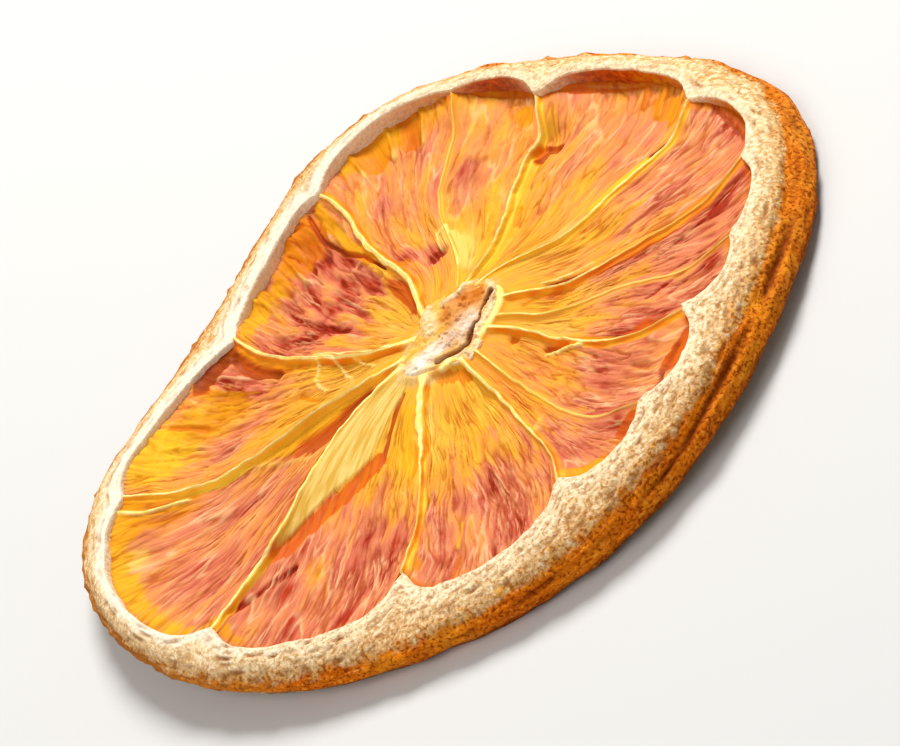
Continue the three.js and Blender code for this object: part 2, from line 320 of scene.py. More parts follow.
# For each segment: how strongly its vesicles are raised, how strongly it is creased, how
# strongly it is crumpled across, the lean of its creases, and how strongly it is folded
SURFACES = (
    (0.7, 0.6, 0.1, 0.1, 0.0), (0.6, 0.4, 0.3, 0.3, 0.0), (0.7, 0.5, 0.3, 0.3, 0.1),
    (1.2, 0.7, 0.5, 0.1, 1.0), (0.9, 0.8, 0.4, -0.4, 0.3), (0.8, 0.9, 0.1, -0.2, 0.0),
    (0.9, 1.1, 0.2, -0.1, 0.1), (0.9, 1.1, 0.2, 0.1, 0.1), (0.7, 0.7, 0.2, 0.1, 0.0),
    (0.8, 0.9, 0.3, 0.2, 0.0), (0.8, 1.1, 0.1, 0.2, 0.1), (0.8, 1.2, 0.1, 0.2, 0.2),
    (0.8, 1.1, 0.1, 0.0, 0.1),
)

# Tone of the flesh near the core and near the rim, and how far out it turns from one to the
# other: 0 is yellow, 0.3 orange, 0.5 peach, 0.65 salmon, 0.8 rose, 0.9 crimson, 1 brown red
FLESH_TONES = (
    (0.24, 0.46, 0.45), (0.22, 0.44, 0.42), (0.28, 0.48, 0.35), (0.26, 0.54, 0.40),
    (0.22, 0.40, 0.50), (0.42, 0.60, 0.46), (0.20, 0.68, 0.50), (0.18, 0.66, 0.52),
    (0.30, 0.62, 0.52), (0.30, 0.60, 0.48), (0.24, 0.66, 0.52), (0.26, 0.66, 0.46),
    (0.26, 0.58, 0.50),
)

# Stains: segment, place across it, place on the way out, reach across and out, and strength.
# A place across runs from 0 at the segment's first membrane to 1 at its second, and a place on
# the way out from 0 at the core to 1 at the pith.
RIPE_STAINS = (
    (0, 0.5, 0.8, 0.14, 0.06, 0.14), (0, 0.25, 0.66, 0.14, 0.14, 0.08),
    (1, 0.35, 0.62, 0.22, 0.1, 0.08), (1, 0.8, 0.64, 0.2, 0.08, 0.08),
    (2, 0.07, 0.65, 0.08, 0.06, 0.26), (2, 0.7, 0.67, 0.14, 0.05, 0.16), (2, 0.35, 0.76, 0.2, 0.06, 0.06),
    (2, 0.8, 0.3, 0.14, 0.04, 0.16), (3, 0.38, 0.66, 0.16, 0.14, 0.36), (3, 0.33, 0.78, 0.07, 0.06, 0.4),
    (3, 0.65, 0.62, 0.22, 0.16, 0.36), (3, 0.85, 0.5, 0.1, 0.12, 0.16),
    (4, 0.16, 0.76, 0.08, 0.14, 0.34), (4, 0.68, 0.66, 0.1, 0.07, 0.26), (4, 0.4, 0.54, 0.24, 0.06, 0.16),
    (5, 0.8, 0.76, 0.18, 0.1, 0.12), (5, 0.3, 0.55, 0.26, 0.08, 0.1), (5, 0.5, 0.8, 0.16, 0.06, 0.1),
    (6, 0.4, 0.86, 0.14, 0.1, 0.12), (6, 0.7, 0.78, 0.16, 0.16, 0.1),
    (7, 0.12, 0.84, 0.1, 0.12, 0.12), (7, 0.6, 0.78, 0.12, 0.14, 0.12), (7, 0.82, 0.8, 0.1, 0.12, 0.1),
    (8, 0.5, 0.74, 0.3, 0.1, 0.1), (8, 0.9, 0.92, 0.12, 0.04, 0.34),
    (9, 0.65, 0.72, 0.25, 0.12, 0.08), (10, 0.55, 0.76, 0.25, 0.14, 0.1),
    (10, 0.8, 0.92, 0.2, 0.04, 0.16), (11, 0.5, 0.72, 0.2, 0.1, 0.1), (11, 0.7, 0.9, 0.2, 0.05, 0.12),
    (11, 0.15, 0.8, 0.1, 0.1, 0.08), (11, 0.8, 0.87, 0.1, 0.05, 0.26),
    (12, 0.8, 0.55, 0.14, 0.06, 0.1), (12, 0.45, 0.8, 0.3, 0.12, 0.06), (12, 0.65, 0.95, 0.2, 0.04, 0.18),
)
PALE_STAINS = (
    (0, 0.1, 0.3, 0.1, 0.2, 0.4), (1, 0.86, 0.28, 0.26, 0.07, 1.0),
    (2, 0.08, 0.38, 0.12, 0.07, 0.9), (3, 0.5, 0.22, 0.34, 0.12, 0.35),
    (4, 0.5, 0.2, 0.4, 0.14, 0.35), (5, 0.32, 0.93, 0.08, 0.05, 1.0),
    (6, 0.92, 0.3, 0.08, 0.2, 0.3), (7, 0.08, 0.2, 0.11, 0.16, 1.3),
    (8, 0.15, 0.2, 0.2, 0.16, 0.4), (10, 0.3, 0.25, 0.35, 0.14, 0.6),
    (11, 0.35, 0.35, 0.25, 0.1, 0.3), (12, 0.6, 0.2, 0.4, 0.12, 0.2),
)

# Glassy patches, with their tone as one more number: 0 is yellow, 0.5 orange, 1 red brown
GLASSY_STAINS = (
    (0, 0.2, 0.91, 0.22, 0.06, 1.1, 0.36), (0, 0.94, 0.4, 0.06, 0.22, 0.8, 0.2),
    (1, 0.28, 0.87, 0.2, 0.06, 1.0, 0.3), (1, 0.55, 0.99, 0.44, 0.02, 0.8, 0.5),
    (2, 0.45, 0.95, 0.5, 0.08, 1.0, 0.25), (3, 0.28, 0.92, 0.18, 0.12, 1.4, 0.5),
    (3, 0.75, 0.95, 0.28, 0.08, 1.0, 0.15), (3, 0.12, 0.27, 0.09, 0.14, 1.3, 0.72),
    (4, 0.7, 0.9, 0.2, 0.14, 1.1, 0.02), (4, 0.38, 0.78, 0.2, 0.16, 0.9, 0.3),
    (5, 0.06, 0.82, 0.12, 0.14, 1.0, 0.35), (5, 0.55, 0.97, 0.5, 0.06, 0.9, 0.12),
    (5, 0.12, 0.28, 0.26, 0.12, 1.2, 0.3), (6, 0.12, 0.97, 0.16, 0.04, 0.8, 0.3),
    (6, 0.78, 0.28, 0.16, 0.16, 0.8, 0.15), (7, 0.06, 0.93, 0.06, 0.06, 0.9, 0.4),
    (8, 0.3, 0.95, 0.36, 0.04, 0.9, 0.45), (10, 0.12, 0.84, 0.14, 0.09, 1.1, 0.6),
    (10, 0.06, 0.5, 0.07, 0.14, 0.8, 0.35), (11, 0.92, 0.62, 0.1, 0.16, 1.1, 0.65),
    (12, 0.05, 0.8, 0.09, 0.2, 1.0, 0.35),
)

# Folds and slots: segment, kind of colour, half width and rise in millimetres, strength of the
# colour, its tone where it is glassy, and the line as places across the segment and on the way out
FOLDS = (
    (0, "glassy", 0.62, -0.45, 6.0, 0.8, ((0.87, 0.71), (0.96, 0.745), (0.93, 0.69))),
    (0, "glassy", 0.34, 0.16, 1.8, 0.0, ((0.07, 0.44), (0.06, 0.58), (0.03, 0.72))),
    (0, "glassy", 0.5, 0.05, 2.5, 0.04, ((0.86, 0.16), (0.94, 0.32), (0.96, 0.5), (0.95, 0.64))),
    (0, "glassy", 0.26, -0.2, 2.0, 0.95, ((0.03, 0.745), (0.01, 0.82))),
    (0, "glassy", 0.4, 0.3, 1.0, 0.3, ((0.12, 0.86), (0.13, 1.0))),
    (0, "glassy", 0.35, 0.3, 1.0, 0.4, ((0.27, 0.86), (0.3, 1.0))),
    (0, "glassy", 0.35, 0.25, 1.0, 0.55, ((0.4, 0.88), (0.42, 1.0))),
    (0, "glassy", 0.3, -0.1, 0.9, 0.6, ((0.46, 0.98), (0.92, 1.01))),
    (0, "glassy", 0.3, -0.1, 0.9, 0.5, ((0.86, 0.34), (0.9, 0.42))),
    (1, "pale", 0.55, 0.32, 1.2, 0.0, ((0.62, 0.17), (0.78, 0.28), (0.95, 0.36))),
    (1, "cream", 0.15, 0.16, 0.8, 0.0, ((0.93, 0.2), (0.99, 0.42))),
    (1, "glassy", 0.28, -0.1, 0.8, 0.55, ((0.18, 1.01), (0.9, 1.0))),
    (2, "ripe", 0.5, -0.25, 0.6, 0.0, ((0.22, 0.31), (0.42, 0.31))),
    (2, "ripe", 0.65, -0.15, 0.4, 0.0, ((0.3, 0.33), (0.6, 0.37), (0.76, 0.41))),
    (2, "glassy", 0.35, -0.15, 0.9, 0.45, ((0.8, 0.4), (0.94, 0.42))),
    (2, "cream", 0.14, 0.14, 0.6, 0.0, ((0.0, 0.42), (0.2, 0.4), (0.24, 0.33))),
    (2, "glassy", 0.75, -0.15, 1.2, 0.55, ((0.35, 0.88), (0.35, 1.0))),
    (2, "glassy", 0.8, -0.15, 1.2, 0.45, ((0.61, 0.88), (0.61, 1.0))),
    (2, "pale", 0.2, 0.22, 0.8, 0.0, ((0.24, 0.84), (0.24, 1.0))),
    (2, "pale", 0.22, 0.22, 0.8, 0.0, ((0.49, 0.85), (0.48, 1.0))),
    (2, "pale", 0.2, 0.2, 0.7, 0.0, ((0.73, 0.86), (0.72, 1.0))),
    (3, "glassy", 0.4, 0.05, 1.2, 0.22, ((0.05, 0.56), (0.08, 0.7), (0.1, 0.84), (0.07, 0.96))),
    (3, "glassy", 0.14, -0.3, 2.0, 0.84,
     ((0.13, 0.97), (0.18, 0.82), (0.13, 0.7), (0.06, 0.6), (0.05, 0.45))),
    (3, "pale", 0.2, 0.22, 0.6, 0.0, ((0.42, 0.8), (0.38, 1.0))),
    (3, "cream", 0.16, 0.15, 0.7, 0.0, ((0.92, 0.12), (0.9, 0.35), (0.95, 0.52))),
    (4, "glassy", 0.75, -0.35, 3.0, 0.94, ((0.05, 0.99), (0.15, 0.96), (0.25, 0.96))),
    (4, "glassy", 0.36, -0.3, 2.0, 0.94, ((0.07, 0.94), (0.08, 0.84), (0.1, 0.75), (0.11, 0.63))),
    (4, "glassy", 0.6, 0.05, 1.2, 0.42, ((0.05, 0.88), (0.06, 0.74), (0.05, 0.6))),
    (4, "ripe", 0.55, 0.1, 0.35, 0.0, ((0.2, 0.9), (0.24, 0.78), (0.24, 0.66))),
    (4, "cream", 0.14, 0.16, 0.7, 0.0, ((0.02, 0.47), (0.25, 0.41), (0.5, 0.32))),
    (4, "cream", 0.13, 0.14, 0.6, 0.0, ((0.02, 0.38), (0.2, 0.31), (0.42, 0.24))),
    (4, "cream", 0.12, 0.12, 0.5, 0.0, ((0.04, 0.28), (0.25, 0.19), (0.4, 0.14))),
    (4, "glassy", 0.3, -0.15, 0.9, 0.4, ((0.4, 0.43), (0.62, 0.34))),
    (4, "pale", 0.2, 0.2, 0.5, 0.0, ((0.62, 0.74), (0.66, 0.9), (0.62, 1.0))),
    (4, "glassy", 0.25, -0.15, 0.9, 0.55, ((0.5, 0.78), (0.54, 0.94))),
    (5, "glassy", 0.75, -0.05, 2.5, 0.14, ((0.0, 0.5), (0.08, 0.4), (0.14, 0.33), (0.12, 0.26))),
    (5, "glassy", 0.45, -0.05, 1.5, 0.2, ((0.04, 0.24), (0.08, 0.16), (0.1, 0.08))),
    (5, "glassy", 0.7, -0.3, 6.0, 0.76, ((0.34, 0.35), (0.46, 0.28), (0.54, 0.21), (0.6, 0.13))),
    (5, "pale", 0.25, 0.1, 0.5, 0.0, ((0.02, 0.58), (0.3, 0.42), (0.6, 0.35), (0.85, 0.27))),
    (5, "cream", 0.16, 0.16, 0.8, 0.0, ((0.05, 0.76), (0.07, 0.9), (0.05, 1.0))),
    (5, "pale", 0.45, 0.1, 0.9, 0.0, ((0.31, 0.9), (0.33, 0.97))),
    (6, "glassy", 0.62, -0.1, 5.0, 0.6,
     ((0.03, 0.67), (0.1, 0.6), (0.18, 0.52), (0.29, 0.44), (0.42, 0.36), (0.54, 0.29))),
    (6, "ripe", 0.25, -0.2, 0.45, 0.0, ((0.02, 0.92), (0.1, 0.78), (0.2, 0.68))),
    (6, "glassy", 0.18, -0.12, 1.6, 0.75, ((0.61, 0.3), (0.59, 0.2), (0.58, 0.1), (0.54, 0.05))),
    (6, "glassy", 0.5, 0.05, 1.0, 0.1, ((0.8, 0.12), (0.86, 0.25), (0.88, 0.42))),
    (6, "glassy", 0.3, 0.0, 1.0, 0.3, ((0.9, 0.48), (0.95, 0.4), (0.9, 0.28))),
    (7, "glassy", 0.22, 0.1, 0.9, 0.1, ((0.32, 0.74), (0.29, 0.84))),
    (7, "glassy", 0.25, -0.1, 0.9, 0.55, ((0.3, 0.88), (0.28, 0.97))),
    (7, "glassy", 0.6, -0.15, 1.1, 0.44, ((0.3, 0.02), (0.5, 0.035), (0.72, 0.06), (0.94, 0.11))),
    (8, "pale", 0.3, 0.15, 0.8, 0.0, ((0.12, 0.6), (0.28, 0.55), (0.4, 0.53))),
    (8, "glassy", 0.7, -0.15, 4.0, 0.68, ((0.88, 0.97), (0.77, 0.955))),
    (8, "glassy", 0.4, 0.0, 2.0, 0.24, ((0.03, 0.965), (0.24, 0.945), (0.4, 0.945))),
    (9, "glassy", 0.7, -0.1, 4.0, 0.66, ((0.78, 0.97), (0.62, 0.91))),
    (9, "glassy", 0.24, -0.2, 2.0, 0.92, ((0.74, 0.93), (0.52, 0.9), (0.32, 0.94))),
    (9, "cream", 0.15, 0.2, 0.9, 0.0, ((0.64, 0.32), (0.8, 0.4), (0.98, 0.54))),
    (9, "glassy", 0.35, -0.4, 1.3, 0.7, ((0.8, 0.3), (0.9, 0.38), (0.97, 0.44))),
    (9, "glassy", 0.4, -0.35, 1.3, 0.55, ((0.72, 0.14), (0.92, 0.15))),
    (10, "glassy", 0.6, -0.25, 1.2, 0.62, ((0.08, 0.93), (0.18, 0.8), (0.22, 0.74))),
    (10, "ripe", 0.18, -0.12, 0.3, 0.0, ((0.72, 0.66), (0.98, 0.82))),
    (10, "ripe", 0.15, -0.1, 0.25, 0.0, ((0.62, 0.72), (0.88, 0.9))),
    (11, "ripe", 0.18, -0.12, 0.25, 0.0, ((0.02, 0.72), (0.22, 0.9))),
    (11, "ripe", 0.18, -0.12, 0.25, 0.0, ((0.42, 0.62), (0.75, 0.84))),
    (11, "glassy", 0.22, -0.12, 1.0, 0.35, ((0.45, 0.1), (0.75, 0.14), (0.98, 0.22))),
    (11, "glassy", 0.18, -0.1, 0.9, 0.45, ((0.5, 0.22), (0.96, 0.3))),
    (12, "glassy", 0.25, -0.25, 1.2, 0.8, ((0.08, 0.36), (0.12, 0.28), (0.1, 0.18))),
    (12, "cream", 0.12, 0.12, 0.6, 0.0, ((0.2, 0.36), (0.22, 0.28), (0.16, 0.16))),
    (12, "glassy", 0.22, -0.12, 1.1, 0.9, ((0.3, 0.985), (0.78, 0.98))),
)

# Each membrane's side that leans towards the near side of the slice: width of the glassy band
# that shows, and its tone as above. Then how pale the membrane's crest is, how far out it stays
# so, how wide it is near the core, and what share of its ridge stands above the flesh.
SIDE_NAMES = ("band", "tone", "paleness", "reach", "root_width", "stand")
SIDE_VALUES = (
    (0.15, 0.20, 0.95, 1.20, 1.1, 0.45),
    (0.18, 0.05, 1.20, 1.20, 1.2, 0.70),
    (0.10, 0.30, 0.70, 1.20, 0.7, 0.60),
    (0.40, 0.50, 1.15, 1.20, 1.9, 0.80),
    (0.50, 0.50, 1.15, 1.20, 1.6, 0.80),
    (0.55, 0.15, 1.20, 1.20, 1.4, 0.70),
    (0.30, 0.20, 1.25, 1.20, 2.0, 0.80),
    (0.50, 0.30, 1.20, 0.50, 2.3, 0.60),
    (0.20, 0.45, 1.10, 0.70, 1.4, 0.70),
    (0.15, 0.40, 0.90, 0.35, 0.8, 0.50),
    (0.25, 0.50, 1.00, 0.75, 1.0, 0.55),
    (0.12, 0.40, 0.85, 0.45, 0.8, 0.40),
    (0.45, 0.60, 1.00, 0.50, 0.9, 0.50),
)
SIDES = [dict(zip(SIDE_NAMES, values)) for values in SIDE_VALUES]


def stained(stains, segment, place, s):
    """Strength of a segment's stains, and their strength times their tone if they have one."""
    total = np.zeros(place.shape)
    toned = np.zeros(place.shape)
    for number, across, out, reach_across, reach_out, strength, *tone in stains:
        if number == segment:
            away = ((place - across) / reach_across) ** 2 + ((s - out) / reach_out) ** 2
            share = strength * np.exp(-away)
            total = total + share
            toned = toned + share * (tone[0] if tone else 0)
    return total, toned


def path_share(x, y, path, half_width):
    """1 on a line of points, falling to 0 beside it."""
    nearest = np.full(x.shape, 99.0)
    for (ax, ay), (bx, by) in zip(path, path[1:]):
        run_x, run_y = bx - ax, by - ay
        t = np.clip(((x - ax) * run_x + (y - ay) * run_y) / (run_x ** 2 + run_y ** 2), 0, 1)
        nearest = np.minimum(nearest, np.hypot(x - ax - t * run_x, y - ay - t * run_y))
    return np.exp(-(nearest / half_width) ** 3)


def firmness(number, s):
    """How firmly a membrane or the rim holds the flesh up beside it."""
    at_rim = smoothstep(s, 0.8, 0.95)
    return mix(min(1, MEMBRANES[number]["ridge"] / FIRM_RIDGE) * SIDES[number]["stand"], 1, at_rim)


def flap_share(segment, s, from_first):
    """How far the folded flap fills the hollow, and how far it covers the flesh."""
    if segment != FLAP_SEGMENT:
        return np.zeros(s.shape), np.zeros(s.shape)
    places, widths = zip(*FLAP_PROFILE)
    across = from_first / np.interp(s, places, widths)
    inside = (s > places[0]) & (s < places[-1])
    fill = np.where(inside, 1 - smoothstep(across, 1, FLAP_EDGE), 0)
    cover = np.where(inside, 1 - smoothstep(across, 1.04, 1.12), 0)
    return (1 - FLAP_FALL * np.minimum(across, 1)) * mix(fill, cover, 0.7), cover


def shared_depth(segment, place, name):
    """Sink or step of a segment, led over to its neighbours at its two membranes."""
    own = MEMBRANES[segment][name]
    before = (own + MEMBRANES[segment - 1][name]) / 2
    after = (own + MEMBRANES[(segment + 1) % SEGMENT_COUNT][name]) / 2
    depth = mix(before, own, smoothstep(place, 0, 0.3))
    return mix(after, depth, smoothstep(1 - place, 0, 0.3))


def own_shift(across, salt):
    """Neighbouring vesicles start at different distances from the core."""
    return 1.2 * swell(across / 0.8, 0.5, salt)


def pulp(segment, across, out, s, narrowness):
    """Relief of the dried pulp, where it is darkened in creases, folds and sunk walls (partly its own
    darker red, partly painted shade), its pale walls, its patterns of tone, and where it is finely fibrous."""
    salt = 100 + 17 * segment
    raised, creased, crumpled, lean, waved = SURFACES[segment]
    clouds = layered(across / 2.4, out / 4, salt + 71, 3)
    crumpled = crumpled * smoothstep(s, 0.22, 0.5)
    sway = 0.35 * narrowness
    bent = across + lean * 0.25 * (out - 12) + sway * layered(across / 3, out / 6, salt, 2)
    bent = bent + 0.06 * layered(across, out / 2.5, salt + 5, 2)
    bent_out = out + 0.8 * layered(across / 1.2, out / 2.5, salt + 3) * (0.4 + crumpled)
    vesicle_out = bent_out / VESICLE_LENGTH + own_shift(bent, salt + 7)
    vesicles = cells(bent / VESICLE_WIDTH, vesicle_out, salt + 9)
    plump = 1 - np.clip(vesicles.from_middle * 1.25, 0, 1) ** 2
    wall = 1 - smoothstep(vesicles.from_border, 0.03, 0.15)
    fibre_out = bent_out / FIBRE_LENGTH + own_shift(bent / 0.4, salt + 27)
    fibres = cells(bent / FIBRE_WIDTH, fibre_out, salt + 29)
    fine_wall = 1 - smoothstep(fibres.from_border, 0.04, 0.24)
    patchy = smoothstep(layered(across / 3, out / 4, salt + 17, 2), -0.5, 0.4)
    pale = smoothstep(swell(bent / 1.7, out / 6, salt + 19), -0.2, 0.2)
    fine_pale = smoothstep(swell(bent / 0.9, out / 3, salt + 23), -0.3, 0.3)
    folds = creases(bent / CREASE_WIDTH, bent_out / CREASE_LENGTH, salt + 21, 6) * mix(0.35, 1, patchy)
    lumps = layered(bent / 1.1, bent_out / 1.5, salt + 41, 3)
    waves = layered(bent / 0.85 + 0.3 * clouds, bent_out / 4.5, salt + 81, 2)
    waves = waves * smoothstep(s, 0.25, 0.45) * waved
    across_folds = creases(bent / 1.8, bent_out / 0.9, salt + 45, 4)
    relief = VESICLE_RELIEF * raised * (plump - 0.4) + VESICLE_WALL * raised * (2 * pale - 1) * wall
    relief = relief + FIBRE_RELIEF * creased * (2 * fine_pale - 1) * fine_wall
    relief = relief - CREASE_DEPTH * creased * (folds - 0.1)
    relief = relief + CRUMPLE_RELIEF * crumpled * (lumps - 0.7 * across_folds)
    relief = relief + SWELL_RELIEF * layered(across / 2.2, out / 4, salt + 51)
    relief = relief + WAVE_RELIEF * waves
    vein = np.clip(0.9 * wall * pale + 0.35 * fine_wall * fine_pale * patchy, 0, 1)
    # Darker in the creases, folds and sunk vesicle walls where the relief dips: partly the pulp's own darker
    # red, partly painted shade
    crease_red_and_shade = 0.6 * wall * (1 - pale) + 0.30 * fine_wall * (1 - fine_pale) * patchy + 1.1 * folds * creased
    crease_red_and_shade = np.clip(crease_red_and_shade + 0.4 * crumpled * across_folds, 0, 1)
    tint = 0.75 * (vesicles.own - 0.5) + 0.35 * (fibres.own - 0.5) - 1.5 * waves
    streaks = layered(bent / 0.5, bent_out / 8, salt + 61, 2)
    fine = np.clip(patchy * creased, 0, 1)
    return relief, crease_red_and_shade, vein, tint, streaks, clouds, fine


def sheet_place(segment, place, s):
    """Where a place of a segment lies, with what else its height and colours need."""
    one = np.ones(np.shape(s))
    first_angle = membrane_angle(segment, s)
    second_angle = membrane_angle(segment + 1, s)
    angle = mix(first_angle, second_angle, place)
    rim_angle = mix(membrane_angle(segment, one), membrane_angle(segment + 1, one), place)
    arm = line_from_core(angle, rim_angle)
    distance = mix(arm.core_edge, arm.pith_edge, np.minimum(s, 1)) + REACH_INTO_PITH * np.maximum(s - 1, 0)
    x = CORE_CENTRE[0] + arm.x * distance
    y = CORE_CENTRE[1] + arm.y * distance
    from_core = s * (arm.pith_edge - arm.core_edge)
    return x, y, angle, distance, distance / arm.length, from_core, first_angle, second_angle


def flesh(segment, place, s, upper):
    """Points of a segment's upper or under surface, the masks of its colours, and the places of
    its pattern."""
    placed = sheet_place(segment, place, s)
    x, y, angle, distance, share_out, from_core, first_angle, second_angle = placed
    width = distance * (second_angle - first_angle)
    from_first = width * place
    from_second = width * (1 - place)
    nearer_first = place < 0.5
    from_edge = np.minimum(from_first, from_second)
    other = (segment + 1) % SEGMENT_COUNT
    first = MEMBRANES[segment]
    second = MEMBRANES[other]
    way = np.clip(s, 0, 1)
    near_side = share_facing(angle, NEAR_FLESH)

    # The membranes' ridges and the sunk flesh between them
    def crest_width(number):
        reach = SIDES[number]["reach"]
        return RIDGE_HALF_WIDTH * mix(SIDES[number]["root_width"], 0.85, smoothstep(s, 0.5 * reach, reach))

    def ridge_share(away, number):
        uneven = np.maximum(1 + RIDGE_UNEVENNESS * layered(s * 12, number * 3.7, 21, 3), 0.4)
        half_width = crest_width(number) * uneven
        half_width = half_width * (1 + ROOT_FLARE * np.exp(-np.maximum(from_core, 0) / ROOT_FLARE_REACH))
        return np.exp(-(away / half_width) ** 4)

    near_first = ridge_share(from_first, segment)
    near_second = ridge_share(from_second, other)
    first_ridge = first["ridge"] * SIDES[segment]["stand"]
    second_ridge = second["ridge"] * SIDES[other]["stand"]
    ridge = np.maximum(first_ridge * near_first, second_ridge * near_second)
    highest = mix(first_ridge, second_ridge, place)
    held = np.where(nearer_first, firmness(segment, s), firmness(other, s))
    bowl = np.clip(4 * place * (1 - place), 0, 1) ** 0.7
    dish = (1 - held * (1 - bowl)) * smoothstep(s, 0, 0.3)
    towards_rim = smoothstep(s, 0.7, 0.97)
    ridge_drop = (highest - ridge) * mix(RIDGE_SHOWN, RIDGE_LEFT_AT_RIM, towards_rim)
    depth = mix(shared_depth(segment, place, "sink"), shared_depth(segment, place, "step"), towards_rim)
    fill, cover = flap_share(segment, s, from_first)
    lip = (1 - smoothstep(from_core, LIP_WIDTH, LIP_EDGE)) * near_side
    behind_lip = BEHIND_LIP_DEPTH * near_side * smoothstep(from_core, 0.2, 0.8)
    behind_lip = behind_lip * (1 - smoothstep(s, 0.2, 0.5))
    at_root = smoothstep(from_core, -0.1, mix(0.8, 0.5, near_side))
    sunk = (ridge_drop * (1 - lip) * at_root + depth * dish
            + behind_lip * smoothstep(from_edge, 0, 0.4)) * (1 - fill)

    # Relief of the pulp, torn crests, stains and folds
    rim_width = second["rim"] + (360 if other == 0 else 0) - first["rim"]
    across = (place - 0.5) * math.radians(rim_width) * PATTERN_RADIUS
    out = way * PATTERN_LENGTH
    narrowness = min(1, rim_width / 30)
    relief, crease_red_and_shade, vein, tint, streaks, clouds, fine = pulp(segment, across, out, s, narrowness)
    free = smoothstep(from_edge, 0.12, 0.7) * smoothstep(s, 0.02, 0.2) * (1 - 0.85 * cover)
    strength = 0.45 + 0.55 * smoothstep(s, 0.1, 0.5)

    def torn(number):
        return layered(s * 20, number * 3.1, 71, 4)

    tear = near_first * torn(segment) * first["ridge"] + near_second * torn(other) * second["ridge"]
    masks = {"pale": stained(PALE_STAINS, segment, place, s)[0] * (1 + 0.8 * clouds),
             "ripe": stained(RIPE_STAINS, segment, place, s)[0] * (1 + 0.5 * clouds),
             "cream": np.zeros(s.shape)}
    glassy, toned = stained(GLASSY_STAINS, segment, place, s)
    masks["glassy"] = glassy + 0.3 * clouds + 0.2 * streaks
    folded = np.zeros(s.shape)
    fold_cover = np.zeros(s.shape)
    for number, kind, half_width, rise, fold_strength, tone, line in FOLDS:
        if number == segment:
            points = [sheet_place(segment, *point)[:2] for point in line]
            wavy = half_width * (1 + 0.2 * streaks + 0.2 * clouds)
            wavy = np.maximum(wavy, 0.4 * half_width)
            share = path_share(x + 0.15 * clouds, y + 0.06 * streaks, points, wavy)
            folded = folded + rise * share
            masks[kind] = masks[kind] + fold_strength * share
            if kind == "glassy":
                fold_cover = np.maximum(fold_cover, share)
                toned = toned + 3 * fold_strength * share * tone
                glassy = glassy + 3 * fold_strength * share
    glassy_tone = toned / np.maximum(glassy, 1e-6)

    # The upper surface
    crest = crest_height(angle)
    own_height = mix(CORE_HEIGHT, crest - 0.1, way ** 2.5)
    smooth = 1 - 0.6 * np.clip(np.maximum(glassy / 4, fold_cover), 0, 1)
    top = own_height - sunk + free * relief * strength * smooth - hollow_depth(x, y)
    top = top + TEAR_RELIEF * tear * smoothstep(s, 0, 0.1)
    top = top + folded * smoothstep(from_edge, 0, 0.3)
    fall_begins = mix(0.05, 0.25, near_side)
    fall_ends = mix(0.5, 0.7, near_side)
    top = top - mix(0.4, 1.0, near_side) * smoothstep(-from_core, fall_begins, fall_ends)

    # Tone of the flesh, and the glassy sides of the membranes and of the rim, with a painted glow where those
    # sides face away from the light
    ripe_in, ripe_out, turn = FLESH_TONES[segment]
    turned = smoothstep(s + 0.14 * tint + 0.12 * clouds + 0.06 * streaks, turn - 0.26, turn + 0.26)
    ripe = mix(ripe_in, ripe_out, turned) + masks["ripe"]
    ripe = ripe + (0.24 * tint + 0.16 * clouds) * mix(0.4, 1, turned) + 0.06 * streaks
    glassy = smoothstep(masks["glassy"], 0.40, 0.70)

    number = np.where(nearer_first, segment, other)
    side_width = np.array([side["band"] for side in SIDES])[number]
    side_tone = np.array([side["tone"] for side in SIDES])[number]
    at_line = np.where(nearer_first, first_angle, second_angle)
    facing = smoothstep(np.where(nearer_first, -1, 1) * np.cos(at_line - math.radians(10)), -0.35, 0.35)
    side_width = np.minimum(side_width, 0.28 * width) * mix(0.4, 1, facing)
    side_width = np.maximum(side_width * (1 + 0.6 * layered(s * 9, number * 1.7, 81, 2)), 0.18 * facing)
    firm = np.where(nearer_first, firmness(segment, 0 * s), firmness(other, 0 * s))
    side = (1 - smoothstep(from_edge - RIDGE_HALF_WIDTH, 0.5 * side_width, 1.1 * side_width + 0.01))
    side = side * smoothstep(firm, 0.1, 0.4) * smoothstep(s, 0.0, 0.06)
    side = side * mix(0.3, 1, facing) * (1 - fold_cover)
    # Painted glow: the sides of firm membranes that lean towards the near side face away from the light, and
    # there the glassy colour is taken from brighter tones
    painted_glow = facing * smoothstep(firm, 0.1, 0.4) * (1 - smoothstep(from_edge, 0.25, 0.6))
    side_tone = np.clip(side_tone + 0.35 * layered(s * 7, number * 2.3, 91, 2), 0, 1)
    tone = mix(glassy_tone, side_tone, side)
    glassy = np.maximum(glassy, side)

    at_wall = smoothstep(s + 0.008 * clouds, 0.965, 0.995) * (1 - share_facing(angle, BLEACHED_RIM))
    at_wall = at_wall * (1 - 0.7 * np.maximum(near_first, near_second))
    tone = mix(tone, 0.55, at_wall)
    glassy = np.maximum(glassy, at_wall)

    # Pale crests of the membranes
    def paleness(index):
        reach = SIDES[index]["reach"]
        far = smoothstep(s, reach - 0.15, reach + 0.15) * (1 - smoothstep(s, 0.86, 0.97))
        return SIDES[index]["paleness"] * (1 - 0.35 * far)

